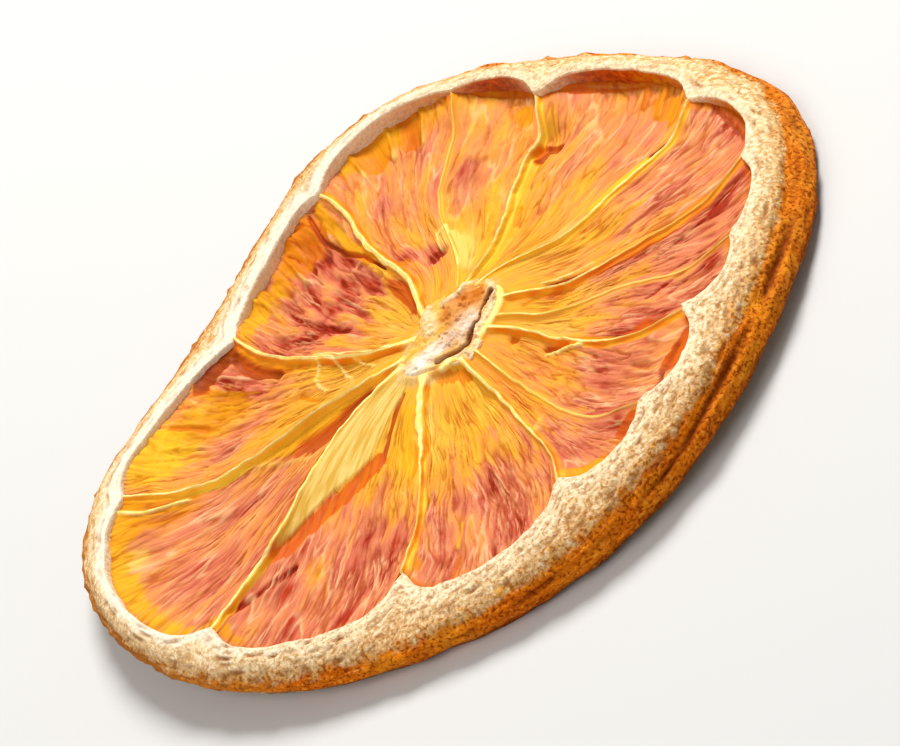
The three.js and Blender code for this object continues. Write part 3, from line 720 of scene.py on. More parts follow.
    at_membrane = np.maximum(near_first * paleness(segment), near_second * paleness(other))
    own_width = np.where(nearer_first, crest_width(segment), crest_width(other))
    on_top = 1 - 0.9 * facing * smoothstep(from_edge, 0.30 * own_width, 0.65 * own_width)
    crest_line = smoothstep(np.maximum(near_first, near_second), 0.80, 0.95) * smoothstep(s, 0, 0.1) * on_top
    masks["pale"] = masks["pale"] + 0.9 * crest_line
    kept = np.where(nearer_first, torn(segment), torn(other))
    cream = smoothstep(at_membrane + 0.10 * kept, 0.78, 0.95) * on_top + masks["cream"]
    glassy = glassy * (1 - crest_line)
    cream = np.maximum(cream, smoothstep(lip, 0.3, 0.7))
    root = 1 - smoothstep(from_core + 0.5 * clouds + 0.3 * streaks, 0.1, 1.1)
    masks = {"ripe": np.clip(ripe, 0, 1), "glassy": np.clip(glassy, 0, 1), "tone": np.clip(tone, 0, 1),
             "cream": np.clip(cream, 0, 1), "pale": np.clip(masks["pale"], 0, 1),
             "root": root * (1 - near_side),
             "crease_red_and_shade": np.clip(crease_red_and_shade * free * smooth, 0, 1),
             "vein": vein * free * smooth * mix(0.45, 1, turned),
             "painted_glow": painted_glow * (1 - cover), "fine": fine * free * smooth * mix(0.5, 1, turned),
             "flap": cover * (1 - smoothstep(near_first, 0.3, 0.8))}

    in_pith = smoothstep(s, 1.0, 1.04)
    if upper:
        height = mix(top, np.minimum(top, HIDDEN_TOP), in_pith)
    else:
        from_membrane = np.minimum(place, 1 - place) / 0.12
        under = FLESH_UNDERSIDE - UNDERSIDE_RIDGE * np.maximum(1 - from_membrane, 0) - 0.6 * free * relief
        height = np.minimum(under, top - THINNEST_FLESH)
        height = mix(height, HIDDEN_UNDERSIDE, in_pith)
    z = height + warp_at(angle, share_out) - FOOT_DEPTH
    points = np.stack([x + CIRCLE_CENTRE[0], y + CIRCLE_CENTRE[1], np.maximum(z, 0.02)], -1)
    return points, masks, np.stack([across, out], -1)


# Making

def deselect():
    bpy.ops.object.select_all(action="DESELECT")


def take_vertices(obj):
    """The places of a mesh's vertices, one row each."""
    places = np.empty(len(obj.data.vertices) * 3)
    obj.data.vertices.foreach_get("co", places)
    return places.reshape(-1, 3)


def put_vertices(obj, points):
    """Moves a mesh's vertices to points given in millimetres."""
    obj.data.vertices.foreach_set("co", (points * MM).ravel())
    obj.data.update()


def put_masks(obj, masks):
    """Keeps the masks of the colours on the mesh, a value for each vertex."""
    for name, values in masks.items():
        mask = obj.data.attributes.new(name, "FLOAT", "POINT")
        mask.data.foreach_set("value", values.astype(np.float32))


def put_pattern(obj, pattern):
    """Lays the UV map along the fibres, in millimetres."""
    mesh = obj.data
    corners = np.empty(len(mesh.loops), dtype=np.int32)
    mesh.loops.foreach_get("vertex_index", corners)
    mesh.uv_layers.active.data.foreach_set("uv", pattern[corners].astype(np.float32).ravel())


def finish_surface(obj, material):
    """Turns the faces outwards, gives the finish, and stands the piece in the solid's place."""
    deselect()
    obj.select_set(True)
    bpy.context.view_layer.objects.active = obj
    bpy.ops.object.mode_set(mode="EDIT")
    bpy.ops.mesh.select_all(action="SELECT")
    bpy.ops.mesh.normals_make_consistent(inside=False)
    bpy.ops.object.mode_set(mode="OBJECT")
    bpy.ops.object.shade_smooth_by_angle(angle=math.radians(65))
    obj.data.materials.clear()
    obj.data.materials.append(material)
    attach(obj, "root")
    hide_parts("orange_slice")


# The sheet of a segment begins under the core and ends inside the rind
SHEET_START = -0.12
SHEET_END = 1.08
REACH_INTO_PITH = 12.0
HIDDEN_TOP = 1.9
HIDDEN_UNDERSIDE = 1.2
SHEET_ROWS = 165
FEWEST_COLUMNS = 80
COLUMNS_PER_MM = 12.5
RIM_RADIUS = 25
COLUMNS_DRAWN_TO_MEMBRANES = 0.45


def dried_segment(segment, material):
    """One segment: a grid, extruded to a closed sheet and then laid between its membranes."""
    rim_width = (membrane_angle(segment + 1, 1.0) - membrane_angle(segment, 1.0)) * RIM_RADIUS
    columns = max(FEWEST_COLUMNS, int(rim_width * COLUMNS_PER_MM))
    deselect()
    bpy.ops.mesh.primitive_grid_add(x_subdivisions=columns, y_subdivisions=SHEET_ROWS, size=1)
    obj = bpy.context.object
    obj.name = f"segment_{segment + 1:02d}"
    bpy.ops.object.mode_set(mode="EDIT")
    bpy.ops.mesh.select_all(action="SELECT")
    bpy.ops.mesh.extrude_region_move(TRANSFORM_OT_translate={"value": (0, 0, -1)})
    bpy.ops.object.mode_set(mode="OBJECT")
    sheet = take_vertices(obj)
    place = np.clip(sheet[:, 0] + 0.5, 0, 1)
    place = place - COLUMNS_DRAWN_TO_MEMBRANES * np.sin(2 * np.pi * place) / (2 * np.pi)
    s = mix(SHEET_START, SHEET_END, np.clip(sheet[:, 1] + 0.5, 0, 1))
    upper = sheet[:, 2] > -0.5
    points = np.empty(sheet.shape)
    pattern = np.empty((len(sheet), 2))
    masks = {}
    for side in (True, False):
        here = upper == side
        placed, own_masks, own_pattern = flesh(segment, place[here], s[here], side)
        points[here] = placed
        pattern[here] = own_pattern
        for name, values in own_masks.items():
            masks.setdefault(name, np.empty(len(sheet)))[here] = values
    put_vertices(obj, points)
    put_masks(obj, masks)
    put_pattern(obj, pattern)
    finish_surface(obj, material)
    return obj


# Rind: the closed line round its cross-section. Each point lies at a share of the pith's
# width from its inner edge, or at an offset from the peel's upper edge; its height is
# counted from the foot or from the crest.

RIND_LINE = (
    ("pith", -0.02, "foot", 0.9, 0), ("pith", 0.0, "foot", 1.7, 0), ("pith", 0.0, "crest", -0.55, 0),
    ("pith", 0.015, "crest", -0.14, 0), ("pith", 0.08, "crest", -0.02, 0), ("pith", 0.3, "crest", 0.0, 0),
    ("pith", 0.5, "crest", -0.12, 0), ("pith", 0.72, "crest", -0.4, 0), ("pith", 0.9, "crest", -0.75, 0),
    ("peel", 0.0, "foot", PEEL_EDGE_HEIGHT, 0), ("peel", 0.36, "foot", 1.98, 0),
    ("peel", 0.6, "foot", 1.5, 0.3), ("peel", 0.52, "foot", 0.95, 0.6), ("peel", 0.28, "foot", 0.5, 0.85),
    ("peel", 0.0, "foot", 0.15, 1), ("peel", -0.4, "foot", 0.02, 1), ("pith", 0.75, "foot", 0.0, 0),
    ("pith", 0.25, "foot", 0.05, 0), ("pith", 0.05, "foot", 0.25, 0), ("pith", 0.0, "foot", 0.5, 0),
)

# Places along that line, counted in its points, where the wall, the peel and the foot begin
WALL_ROWS = (2.6, 3.1)
PEEL_ROWS = (8.2, 9.0)
FOOT_ROWS = (14.6, 15.6)

# Steps of the rind round the slice, the most that the torus takes, and round its cross-section,
# and how far ahead along that section the slope of a face is read
STEPS_ROUND = 256
STEPS_ACROSS = 94
LOOK_AHEAD = 0.003

# Tone of the inner wall by the angle round the slice: 0 is yellow, 0.5 orange, 1 red brown
WALL_TONES = ((0, 0.4), (15, 0.45), (22, 0.7), (52, 0.75), (60, 0.4), (84, 0.35), (90, 0.55), (118, 0.45),
              (122, 0.95), (130, 0.8), (138, 0.2), (180, 0.15), (240, 0.3), (300, 0.5), (360, 0.4))

# Units of the rind's pattern in one turn
CELLS_ROUND = 360


def rind_line(angle, share):
    """Offset from the outline and height of the rind's cross-section at a share of the way round
    it, and the width of the pith."""
    arm = line_from_core(angle, angle)
    crest = crest_height(angle) + 0.14 * swell(angle * 31 / (2 * np.pi), 0.5, 5, 31)
    width = arm.length - arm.pith_edge + 0.13 * layered(angle * 90 / (2 * np.pi), 0.5, 9, 3, 90)
    lean = PEEL_LEAN + waves_at(PEEL_LEAN_WAVES, angle)
    offsets = []
    heights = []
    for kind, out, base, height, back in RIND_LINE:
        offsets.append(out + lean * back if kind == "peel" else -width * (1 - out))
        heights.append(height + (crest if base == "crest" else 0 * angle))
    offsets = np.stack(offsets)
    heights = np.stack(heights)
    count = len(RIND_LINE)
    at = share * count
    index = np.floor(at).astype(int)
    t = at - index
    own = np.arange(len(angle))
    before, here, ahead, beyond = ((index + n) % count for n in (-1, 0, 1, 2))

    def curve(values):
        a, b, c, d = values[before, own], values[here, own], values[ahead, own], values[beyond, own]
        return b + 0.5 * t * (c - a + t * (2 * a - 5 * b + 4 * c - d + t * (3 * (b - c) + d - a)))

    return curve(offsets), curve(heights), width


def round_cells(round_way, cross_way, salt, round_size, cross_size):
    """Cells on the rind that close after one turn."""
    return cells(round_way * round_size, cross_way * cross_size, salt, round(CELLS_ROUND * round_size))


def dried_rind(material):
    """The ring of pith and peel: a torus laid along the rind's cross-section, with its pits,
    wrinkles and dimples raised out of the faces."""
    deselect()
    bpy.ops.mesh.primitive_torus_add(
        major_segments=STEPS_ROUND, minor_segments=STEPS_ACROSS, major_radius=10, minor_radius=2)
    obj = bpy.context.object
    obj.name = "rind"
    ring = take_vertices(obj)
    angle = np.arctan2(ring[:, 1], ring[:, 0])
    turn = np.arctan2(ring[:, 2], np.hypot(ring[:, 0], ring[:, 1]) - 10)
    share = ((np.pi - turn) / (2 * np.pi)) % 1
    arm = line_from_core(angle, angle)
    offset, height, width = rind_line(angle, share)
    ahead_offset, ahead_height = rind_line(angle, (share + LOOK_AHEAD) % 1)[:2]
    run_out = ahead_offset - offset
    run_up = ahead_height - height
    run = np.hypot(run_out, run_up) + 1e-9
    face_out = -run_up / run
    face_up = run_out / run

    at = share * len(RIND_LINE)
    round_way = angle * CELLS_ROUND / (2 * np.pi)
    cross_way = np.where(at < 9.5, (offset + width) / 0.5, 5 + (at - 9.5) * 1.1)
    sponge = layered(round_way / 2, cross_way / 1.2, 441, 4, CELLS_ROUND // 2)
    ragged_rows = at + 0.9 * sponge
    on_pith = smoothstep(at, 2.5, 3.2) * (1 - smoothstep(at, 8.6, 9.4))
    on_peel = smoothstep(at, 8.4, 9.2) * (1 - smoothstep(at, *FOOT_ROWS))
    under = smoothstep(at, 14.8, 15.8)
    near = share_facing(angle, NEAR_RIM)
    far = share_facing(angle, FAR_RIM)
    right = share_facing(angle, RIGHT_RIM)
    left = share_facing(angle, LEFT_RIM)
    bleached = share_facing(angle, BLEACHED_RIM)

    pores = round_cells(round_way, cross_way, 401, 0.55, 0.85)
    pit = (1 - smoothstep(pores.from_middle, 0.12, 0.40)) * smoothstep(pores.own, 0.35, 0.5)
    holes = cells(round_way / 3, cross_way / 1.6, 431, CELLS_ROUND // 3)
    big_pit = (1 - smoothstep(holes.from_middle, 0.06, 0.28)) * smoothstep(holes.own, 0.5, 0.6)
    deep = mix(0.6, 1.0, near) * smoothstep(at, 3.0, 5.0)
    pith_relief = mix(0.08, 0.05, bleached) * sponge - deep * (0.10 * pit + 0.19 * big_pit)

    dimple = 1 - smoothstep(round_cells(round_way, cross_way, 461, 0.72, 0.9).from_middle, 0.05, 0.55)
    wrinkle = layered(round_way / 6, cross_way / 2.2, 471, 3, CELLS_ROUND // 6)
    groove_row = 10.5 + 0.5 * swell(round_way / 12, 0.5, 475, CELLS_ROUND // 12)
    groove = np.exp(-((at - groove_row) / 0.42) ** 2) * share_facing(angle, GROOVED_RIM)
    groove = groove * smoothstep(swell(round_way / 9, 0.5, 479, CELLS_ROUND // 9), -0.45, 0.25)
    rough_edge = smoothstep(at, 7.5, 9) * (1 - smoothstep(at, 10, 11.5))
    rough = layered(round_way / 1.5, cross_way, 477, 3, CELLS_ROUND * 2 // 3)
    peel_relief = 0.05 - 0.10 * dimple + 0.18 * wrinkle - 0.30 * groove + 0.20 * rough_edge * rough
    relief = on_pith * pith_relief + on_peel * peel_relief + 0.6 * under * pith_relief

    bulge = 0.15 * on_peel * swell(round_way / 14, 0.5, 491, CELLS_ROUND // 14 + 1)
    out = arm.length + offset + relief * face_out + bulge
    up = height + relief * face_up
    x = CORE_CENTRE[0] + arm.x * out
    y = CORE_CENTRE[1] + arm.y * out
    z = up + warp_at(angle, 1.0) - FOOT_DEPTH
    points = np.stack([x + CIRCLE_CENTRE[0], y + CIRCLE_CENTRE[1], np.maximum(z, 0)], -1)

    on_foot = smoothstep(at, *FOOT_ROWS)
    tooth = np.clip(tooth_depth(angle) / 1.2, 0, 1) ** 1.5
    peel_rows = ragged_rows - 0.8 * right + 0.5 * far - 0.6 * left
    crust_rows = ragged_rows + 1.3 * far - 0.9 * left + 0.5 * near - 1.2 * right
    off_wall = smoothstep(at, *WALL_ROWS) * (1 - smoothstep(at, 18.4, 19))
    white = (1 - smoothstep(ragged_rows - 0.2 * bleached, 4.4, 6.2)) * (1 - on_foot)
    masks = {
        "peel": smoothstep(peel_rows, *PEEL_ROWS) * (1 - on_foot),
        "crust": smoothstep(crust_rows, 6.2, 8.6) * (1 - smoothstep(ragged_rows, 10.5, 12)),
        "wall": (1 - off_wall) * (1 - 0.9 * tooth) * (1 - bleached),
        "pit": np.clip(0.75 * pit * deep + 1.0 * big_pit * deep, 0, 1),
        "walltone": np.interp(np.degrees(angle) % 360, *zip(*WALL_TONES)),
        "white": white * mix(0.55, 0.85, bleached),
        "left": bleached,
        "near": near,
        # Browner in mottles along the wrinkles, with painted shade in the groove and towards the peel's
        # underside
        "browning_and_shade": np.clip(0.30 + 0.7 * wrinkle + 0.5 * groove + 0.5 * smoothstep(at, 11.0, 13.5), 0, 1),
        # Painted shade: dark in the sunk groove and rising on the lower peel towards the underside
        "groove": np.clip(groove * (1 + 0.5 * rough) + 0.8 * smoothstep(at, 12.2, 14.2), 0, 1),
        "dimple": dimple,
    }
    put_vertices(obj, points)
    put_masks(obj, masks)
    finish_surface(obj, material)
    return obj


# Core: the spongy middle with its crevice

CREVICE = (
    (6.3, 0.1), (5.2, -0.8), (4.4, -1.45), (3.4, -1.8), (2.7, -2.35), (1.7, -2.45), (0.6, -2.1), (0.0, -1.9),
)
CREVICE_HALF_WIDTH = 0.20
CREVICE_DEPTH = 0.40
SPONGE_STRIP = ((-2.0, -0.9), (-0.1, -0.85), (1.4, -0.9), (2.8, -1.2), (3.8, -0.8))
SPONGE_HALF_WIDTH = 1.0
TAN_MIDDLE = (4.2, 0.7)
TAN_REACH = 2.4
CORE_RIDGES = (
    (((2.0, 5.2), (1.9, 3.6), (1.6, 2.4), (1.2, 1.3)), 0.60),
    (((6.6, 2.9), (5.4, 2.7), (4.6, 2.3), (3.2, 2.7)), 0.34),
    (((6.9, 1.6), (6.7, 0.4), (6.2, -0.6)), 0.34),
    (((-0.9, -2.6), (-2.4, -1.9)), 0.50),
)
CORE_STEPS_ROUND = 360
CORE_RINGS = 150
CORE_OVERLAP = 1.14
CORE_GIRTH_HEIGHT = 1.7


def dried_core(material):
    """The core: a ball pressed flat, with its sponge, ridges and crevice."""
    deselect()
    bpy.ops.mesh.primitive_uv_sphere_add(segments=CORE_STEPS_ROUND, ring_count=CORE_RINGS, radius=1)
    obj = bpy.context.object
    obj.name = "core"
    ball = take_vertices(obj)
    angle = np.arctan2(ball[:, 1], ball[:, 0])
    upper = ball[:, 2] >= -1e-4
    share = np.arccos(np.clip(np.abs(ball[:, 2]), 0, 1)) / (np.pi / 2)
    reach = share * (CORE_RADIUS + waves_at(CORE_WAVES, angle)) * CORE_OVERLAP
    x = CORE_CENTRE[0] + reach * np.cos(angle)
    y = CORE_CENTRE[1] + reach * np.sin(angle)
    sponge = layered(x / 0.8, y / 0.8, 611, 5)
    lump = layered(x / 2.0, y / 2.0, 621)
    pores = cells(x / 0.55 + 0.5 * sponge, y / 0.55 + 0.5 * lump, 601)
    pore = (1 - smoothstep(pores.from_middle, 0.1, 0.40)) * smoothstep(pores.own, 0.65, 0.85)
    bent_x = x + 0.15 * sponge
    bent_y = y + 0.2 * lump
    crevice_width = CREVICE_HALF_WIDTH * np.clip(1 + 0.9 * lump, 0.45, 1.8)
    crevice = path_share(bent_x, bent_y, CREVICE, crevice_width)
    strip = path_share(bent_x, bent_y, SPONGE_STRIP, SPONGE_HALF_WIDTH)
    ridges = sum(path_share(bent_x, bent_y, line, half_width) for line, half_width in CORE_RIDGES)
    ridges = np.clip(ridges, 0, 1)
    from_tan = np.hypot(bent_x - TAN_MIDDLE[0], bent_y - TAN_MIDDLE[1])
    tan = (1 - smoothstep(from_tan + 0.4 * sponge, 0.6 * TAN_REACH, 1.15 * TAN_REACH)) * (1 - 0.8 * strip)
    edge = share + 0.05 * layered(x / 1.1, y / 1.1, 631)
    near_side = share_facing(angle, NEAR_FLESH)
    top = (CORE_HEIGHT - 0.02 + 0.16 * lump + 0.13 * sponge - 0.12 * pore + 0.10 * strip + 0.22 * ridges
           + 0.15 * tan - 0.4 * hollow_depth(x, y) - CREVICE_DEPTH * crevice
           - mix(0.55, 0.25, near_side) * smoothstep(edge, 0.80, 1.0))
    under = FLESH_UNDERSIDE - UNDERSIDE_RIDGE + 0.1 * sponge + 0.5 * smoothstep(share, 0.7, 1.0)
    height = np.where(upper, np.maximum(top, CORE_GIRTH_HEIGHT), np.minimum(under, CORE_GIRTH_HEIGHT))
    height = mix(height, CORE_GIRTH_HEIGHT, smoothstep(share, 0.97, 1.0))
    z = height + warp_at(angle, np.hypot(x, y) / MEAN_RADIUS) - FOOT_DEPTH
    points = np.stack([x + CIRCLE_CENTRE[0], y + CIRCLE_CENTRE[1], z], -1)
    pale_edge = near_side * smoothstep(edge, 0.62, 0.74) * (1 - crevice)
    # Painted shade in the sunk crevice, weaker towards the core's left end, and in the sunk pores
    crevice_shade = 1.3 * crevice * mix(0.55, 1, smoothstep(x, -0.2, 2.0))
    masks = {"tan": tan,
             "strip": strip * smoothstep(0.5 - 0.3 * sponge, 0, 0.5),
             "ridge": np.maximum(ridges, pale_edge),
             "bright": 1 - smoothstep(x, -0.2, 2.4),
             "crevice_and_pore_shade": np.clip(crevice_shade + 0.3 * pore, 0, 1)}
    put_vertices(obj, points)
    put_masks(obj, masks)
    finish_surface(obj, material)
    return obj


# Materials

def shade(red, green, blue):
    """A colour given as it looks on screen, from 0 to 255."""
    def straight(value):
        value = value / 255
        return value / 12.92 if value <= 0.04045 else ((value + 0.055) / 1.055) ** 2.4
    return (straight(red), straight(green), straight(blue), 1)


# Sockets of a colour mix node
MIX_SHARE = 0
MIX_FIRST = 6
MIX_SECOND = 7
MIX_RESULT = 2


class Maker:
    """Adds nodes to one tree and joins them. A colour is given as it looks on screen."""

    def __init__(self, tree):
        self.tree = tree

    def node(self, kind, **settings):
        made = self.tree.nodes.new(kind)
        for name, value in settings.items():
            setattr(made, name, value)
        return made

    def feed(self, socket, value):
        if isinstance(value, bpy.types.NodeSocket):
            self.tree.links.new(value, socket)
        else:
            socket.default_value = value

    def feed_colour(self, socket, value):
        self.feed(socket, shade(*value) if isinstance(value, tuple) else value)

    def mask(self, name):
        return self.node("ShaderNodeAttribute", attribute_name=name).outputs["Fac"]

    def number(self, operation, first, second):
        made = self.node("ShaderNodeMath", operation=operation)
        self.feed(made.inputs[0], first)
        self.feed(made.inputs[1], second)
        return made.outputs[0]

    def plus(self, first, second):
        return self.number("ADD", first, second)

    def times(self, first, second):
        return self.number("MULTIPLY", first, second)

    def swing(self, pattern, size):
        """A pattern from 0 to 1, made to swing about 0."""
        return self.times(self.number("SUBTRACT", pattern, 0.5), size)

    def range(self, value, low, high, to_low=0.0, to_high=1.0):
        made = self.node("ShaderNodeMapRange")
        for socket, given in zip(made.inputs, (value, low, high, to_low, to_high)):
            self.feed(socket, given)
        return made.outputs[0]

    def blend(self, share, first, second):
        made = self.node("ShaderNodeMix", data_type="RGBA")
        self.feed(made.inputs[MIX_SHARE], share)
        self.feed_colour(made.inputs[MIX_FIRST], first)
        self.feed_colour(made.inputs[MIX_SECOND], second)
        return made.outputs[MIX_RESULT]

    def over(self, colour, mask, new, strength=1):
        """A colour with a new one laid over it where a mask of the piece says so."""
        share = self.mask(mask)
        if strength != 1:
            share = self.times(share, strength)
        return self.blend(share, colour, new)

    def two_tone(self, value, low, high, first, second):
        return self.blend(self.range(value, low, high), first, second)

    def darker(self, colour, red, green, blue):
        made = self.node("ShaderNodeMix", data_type="RGBA", blend_type="MULTIPLY")
        self.feed(made.inputs[MIX_SHARE], 1.0)
        self.feed(made.inputs[MIX_FIRST], colour)
        self.feed(made.inputs[MIX_SECOND], (red, green, blue, 1))
        return made.outputs[MIX_RESULT]

    def ramp(self, value, stops):
        made = self.node("ShaderNodeValToRGB")
        stops_made = made.color_ramp.elements
        while len(stops_made) < len(stops):
            stops_made.new(0.5)
        for stop, (at, colour) in zip(stops_made, stops):
            stop.position = at
            stop.color = shade(*colour)
        self.feed(made.inputs[0], value)
        return made.outputs[0]


def texture_group(name, build):
    """A shader node group with a Vector, a Scale and a Stretch going in and a Value coming out."""
    tree = bpy.data.node_groups.new(name, "ShaderNodeTree")
    tree.interface.new_socket("Vector", in_out="INPUT", socket_type="NodeSocketVector")
    for name, way in (("Scale", "INPUT"), ("Stretch", "INPUT"), ("Value", "OUTPUT")):
        tree.interface.new_socket(name, in_out=way, socket_type="NodeSocketFloat")
    maker = Maker(tree)
    given = tree.nodes.new("NodeGroupInput")
    result = tree.nodes.new("NodeGroupOutput")
    maker.feed(result.inputs["Value"], build(maker, given))
    return tree


def fibre_value(maker, given):
    """Fibres that run along the second coordinate."""
    parts = maker.node("ShaderNodeSeparateXYZ")
    maker.feed(parts.inputs[0], given.outputs["Vector"])
    stretched = maker.node("ShaderNodeCombineXYZ")
    maker.feed(stretched.inputs[0], parts.outputs[0])
    maker.feed(stretched.inputs[1], maker.number("DIVIDE", parts.outputs[1], given.outputs["Stretch"]))
    noise = maker.node("ShaderNodeTexNoise", noise_dimensions="2D")
    maker.feed(noise.inputs["Vector"], stretched.outputs[0])
    maker.feed(noise.inputs["Scale"], given.outputs["Scale"])
    maker.feed(noise.inputs["Detail"], 3.0)
    return noise.outputs["Fac"]


def speckle_value(maker, given):
    """Fine speckles in all directions."""
    noise = maker.node("ShaderNodeTexNoise", noise_dimensions="3D")
    maker.feed(noise.inputs["Vector"], given.outputs["Vector"])
    maker.feed(noise.inputs["Scale"], given.outputs["Scale"])
    maker.feed(noise.inputs["Detail"], 4.0)
    maker.feed(noise.inputs["Distortion"], given.outputs["Stretch"])
    return noise.outputs["Fac"]


def place_group(maker, tree, vector, scale, stretch):
    """Places one of the node groups in a finish, with values of its own."""
    made = maker.node("ShaderNodeGroup", node_tree=tree)
    maker.feed(made.inputs["Vector"], vector)
    maker.feed(made.inputs["Scale"], scale)
    maker.feed(made.inputs["Stretch"], stretch)
    return made.outputs["Value"]


def new_material(name):
    """A finish with its shader, and the maker that adds its nodes."""
    material = bpy.data.materials.new(name)
    material.use_nodes = True
    maker = Maker(material.node_tree)
    shader = material.node_tree.nodes["Principled BSDF"]
    return material, maker, shader


def bumped(maker, shader, height, strength, depth):
    """Gives a finish its finest relief, with the depth in metres."""
    bump = maker.node("ShaderNodeBump")
    bump.inputs["Strength"].default_value = strength
    bump.inputs["Distance"].default_value = depth
    maker.feed(bump.inputs["Height"], height)
    maker.feed(shader.inputs["Normal"], bump.outputs[0])


# Colours along the tones of the glassy places; of the same places on sides that face away from the light,
# made brighter as a painted glow of light shining through them; and of the flesh
GLASSY_TONES = (
    (0.00, (234, 182, 36)), (0.25, (222, 148, 14)), (0.50, (208, 112, 8)),
    (0.62, (206, 88, 16)), (0.78, (172, 70, 6)), (1.00, (120, 38, 4)),
)
PAINTED_GLOW_TONES = (
    (0.00, (255, 210, 60)), (0.25, (250, 176, 36)), (0.50, (240, 142, 20)),
    (0.75, (232, 112, 10)), (1.00, (214, 80, 6)),
)
RIPE_TONES = (
    (0.00, (234, 188, 72)), (0.16, (228, 166, 38)), (0.32, (230, 154, 54)), (0.48, (226, 142, 72)),
    (0.64, (216, 126, 84)), (0.78, (202, 104, 76)), (0.90, (176, 56, 26)), (1.00, (148, 36, 6)),
)
DULLNESS = 0.06


def flesh_material(fibre, speckle):
    """Dried flesh: yellow or rosy pulp with its fibres, glassy folds, and cream membranes; painted shade
    darkens its creases, and a painted glow brightens glassy sides that face away from the light.
    """
    material, maker, shader = new_material("dried flesh")
    pattern = maker.node("ShaderNodeUVMap").outputs[0]
    place = maker.node("ShaderNodeTexCoord").outputs["Object"]
    fibres = place_group(maker, fibre, pattern, scale=2.2, stretch=7.0)
    fine_fibres = place_group(maker, fibre, pattern, scale=6.0, stretch=8.0)
    grain = place_group(maker, speckle, place, scale=1800.0, stretch=0.2)

    ripe = maker.plus(maker.mask("ripe"), maker.swing(fibres, 0.30))
    ripe = maker.plus(ripe, maker.swing(fine_fibres, 0.16))
    colour = maker.ramp(ripe, RIPE_TONES)
    colour = maker.over(colour, "pale", (236, 196, 92))
    vein = maker.two_tone(ripe, 0.25, 0.6, (244, 190, 78), (240, 188, 136))
    colour = maker.over(colour, "vein", vein, 0.7)
    tone = maker.plus(maker.mask("tone"), maker.swing(fibres, 0.25))
    # Painted glow: brighter glassy tones where the mask marks sides that face away from the light
    glassy = maker.blend(maker.mask("painted_glow"), maker.ramp(tone, GLASSY_TONES), maker.ramp(tone, PAINTED_GLOW_TONES))
    colour = maker.over(colour, "glassy", glassy, 0.95)

    plain = maker.number("SUBTRACT", 1.0, maker.times(maker.mask("glassy"), 0.8))
    shown = maker.times(maker.mask("fine"), plain)
    thin_dark = maker.times(maker.range(fine_fibres, 0.54, 0.64, 0.0, 0.6), shown)
    thin_pale = maker.times(maker.range(fine_fibres, 0.45, 0.35, 0.0, 0.4), shown)
    # Painted shade, partly the pulp's own darker red: colour darkened and reddened in the creases, joined by
    # the fine fibres' dark lines
    creased = maker.number("MAXIMUM", maker.times(maker.mask("crease_red_and_shade"), 0.9), thin_dark)
    colour = maker.blend(thin_pale, colour, vein)
    colour = maker.blend(creased, colour, maker.darker(colour, 0.58, 0.32, 0.16))

    flap = maker.two_tone(fibres, 0.38, 0.62, (210, 162, 62), (230, 194, 108))
    root = maker.two_tone(grain, 0.35, 0.65, (206, 158, 84), (236, 200, 134))
    cream = maker.two_tone(grain, 0.35, 0.65, (252, 214, 100), (255, 238, 160))
    colour = maker.over(colour, "flap", flap)
    colour = maker.over(colour, "root", root, 0.8)
    colour = maker.over(colour, "cream", cream)
    maker.feed(shader.inputs["Base Color"], colour)

    roughness = maker.range(maker.mask("glassy"), 0.0, 1.0, 0.55, 0.40)
    roughness = maker.plus(roughness, maker.times(maker.mask("cream"), 0.25))
    roughness = maker.plus(roughness, maker.times(grain, 0.12))
    maker.feed(shader.inputs["Roughness"], roughness)
    shader.inputs["Specular IOR Level"].default_value = DULLNESS
    height = maker.plus(fibres, maker.times(fine_fibres, 0.35))
    height = maker.plus(height, maker.times(grain, 0.3))
    bumped(maker, shader, height, strength=0.7, depth=0.00010)
    return material


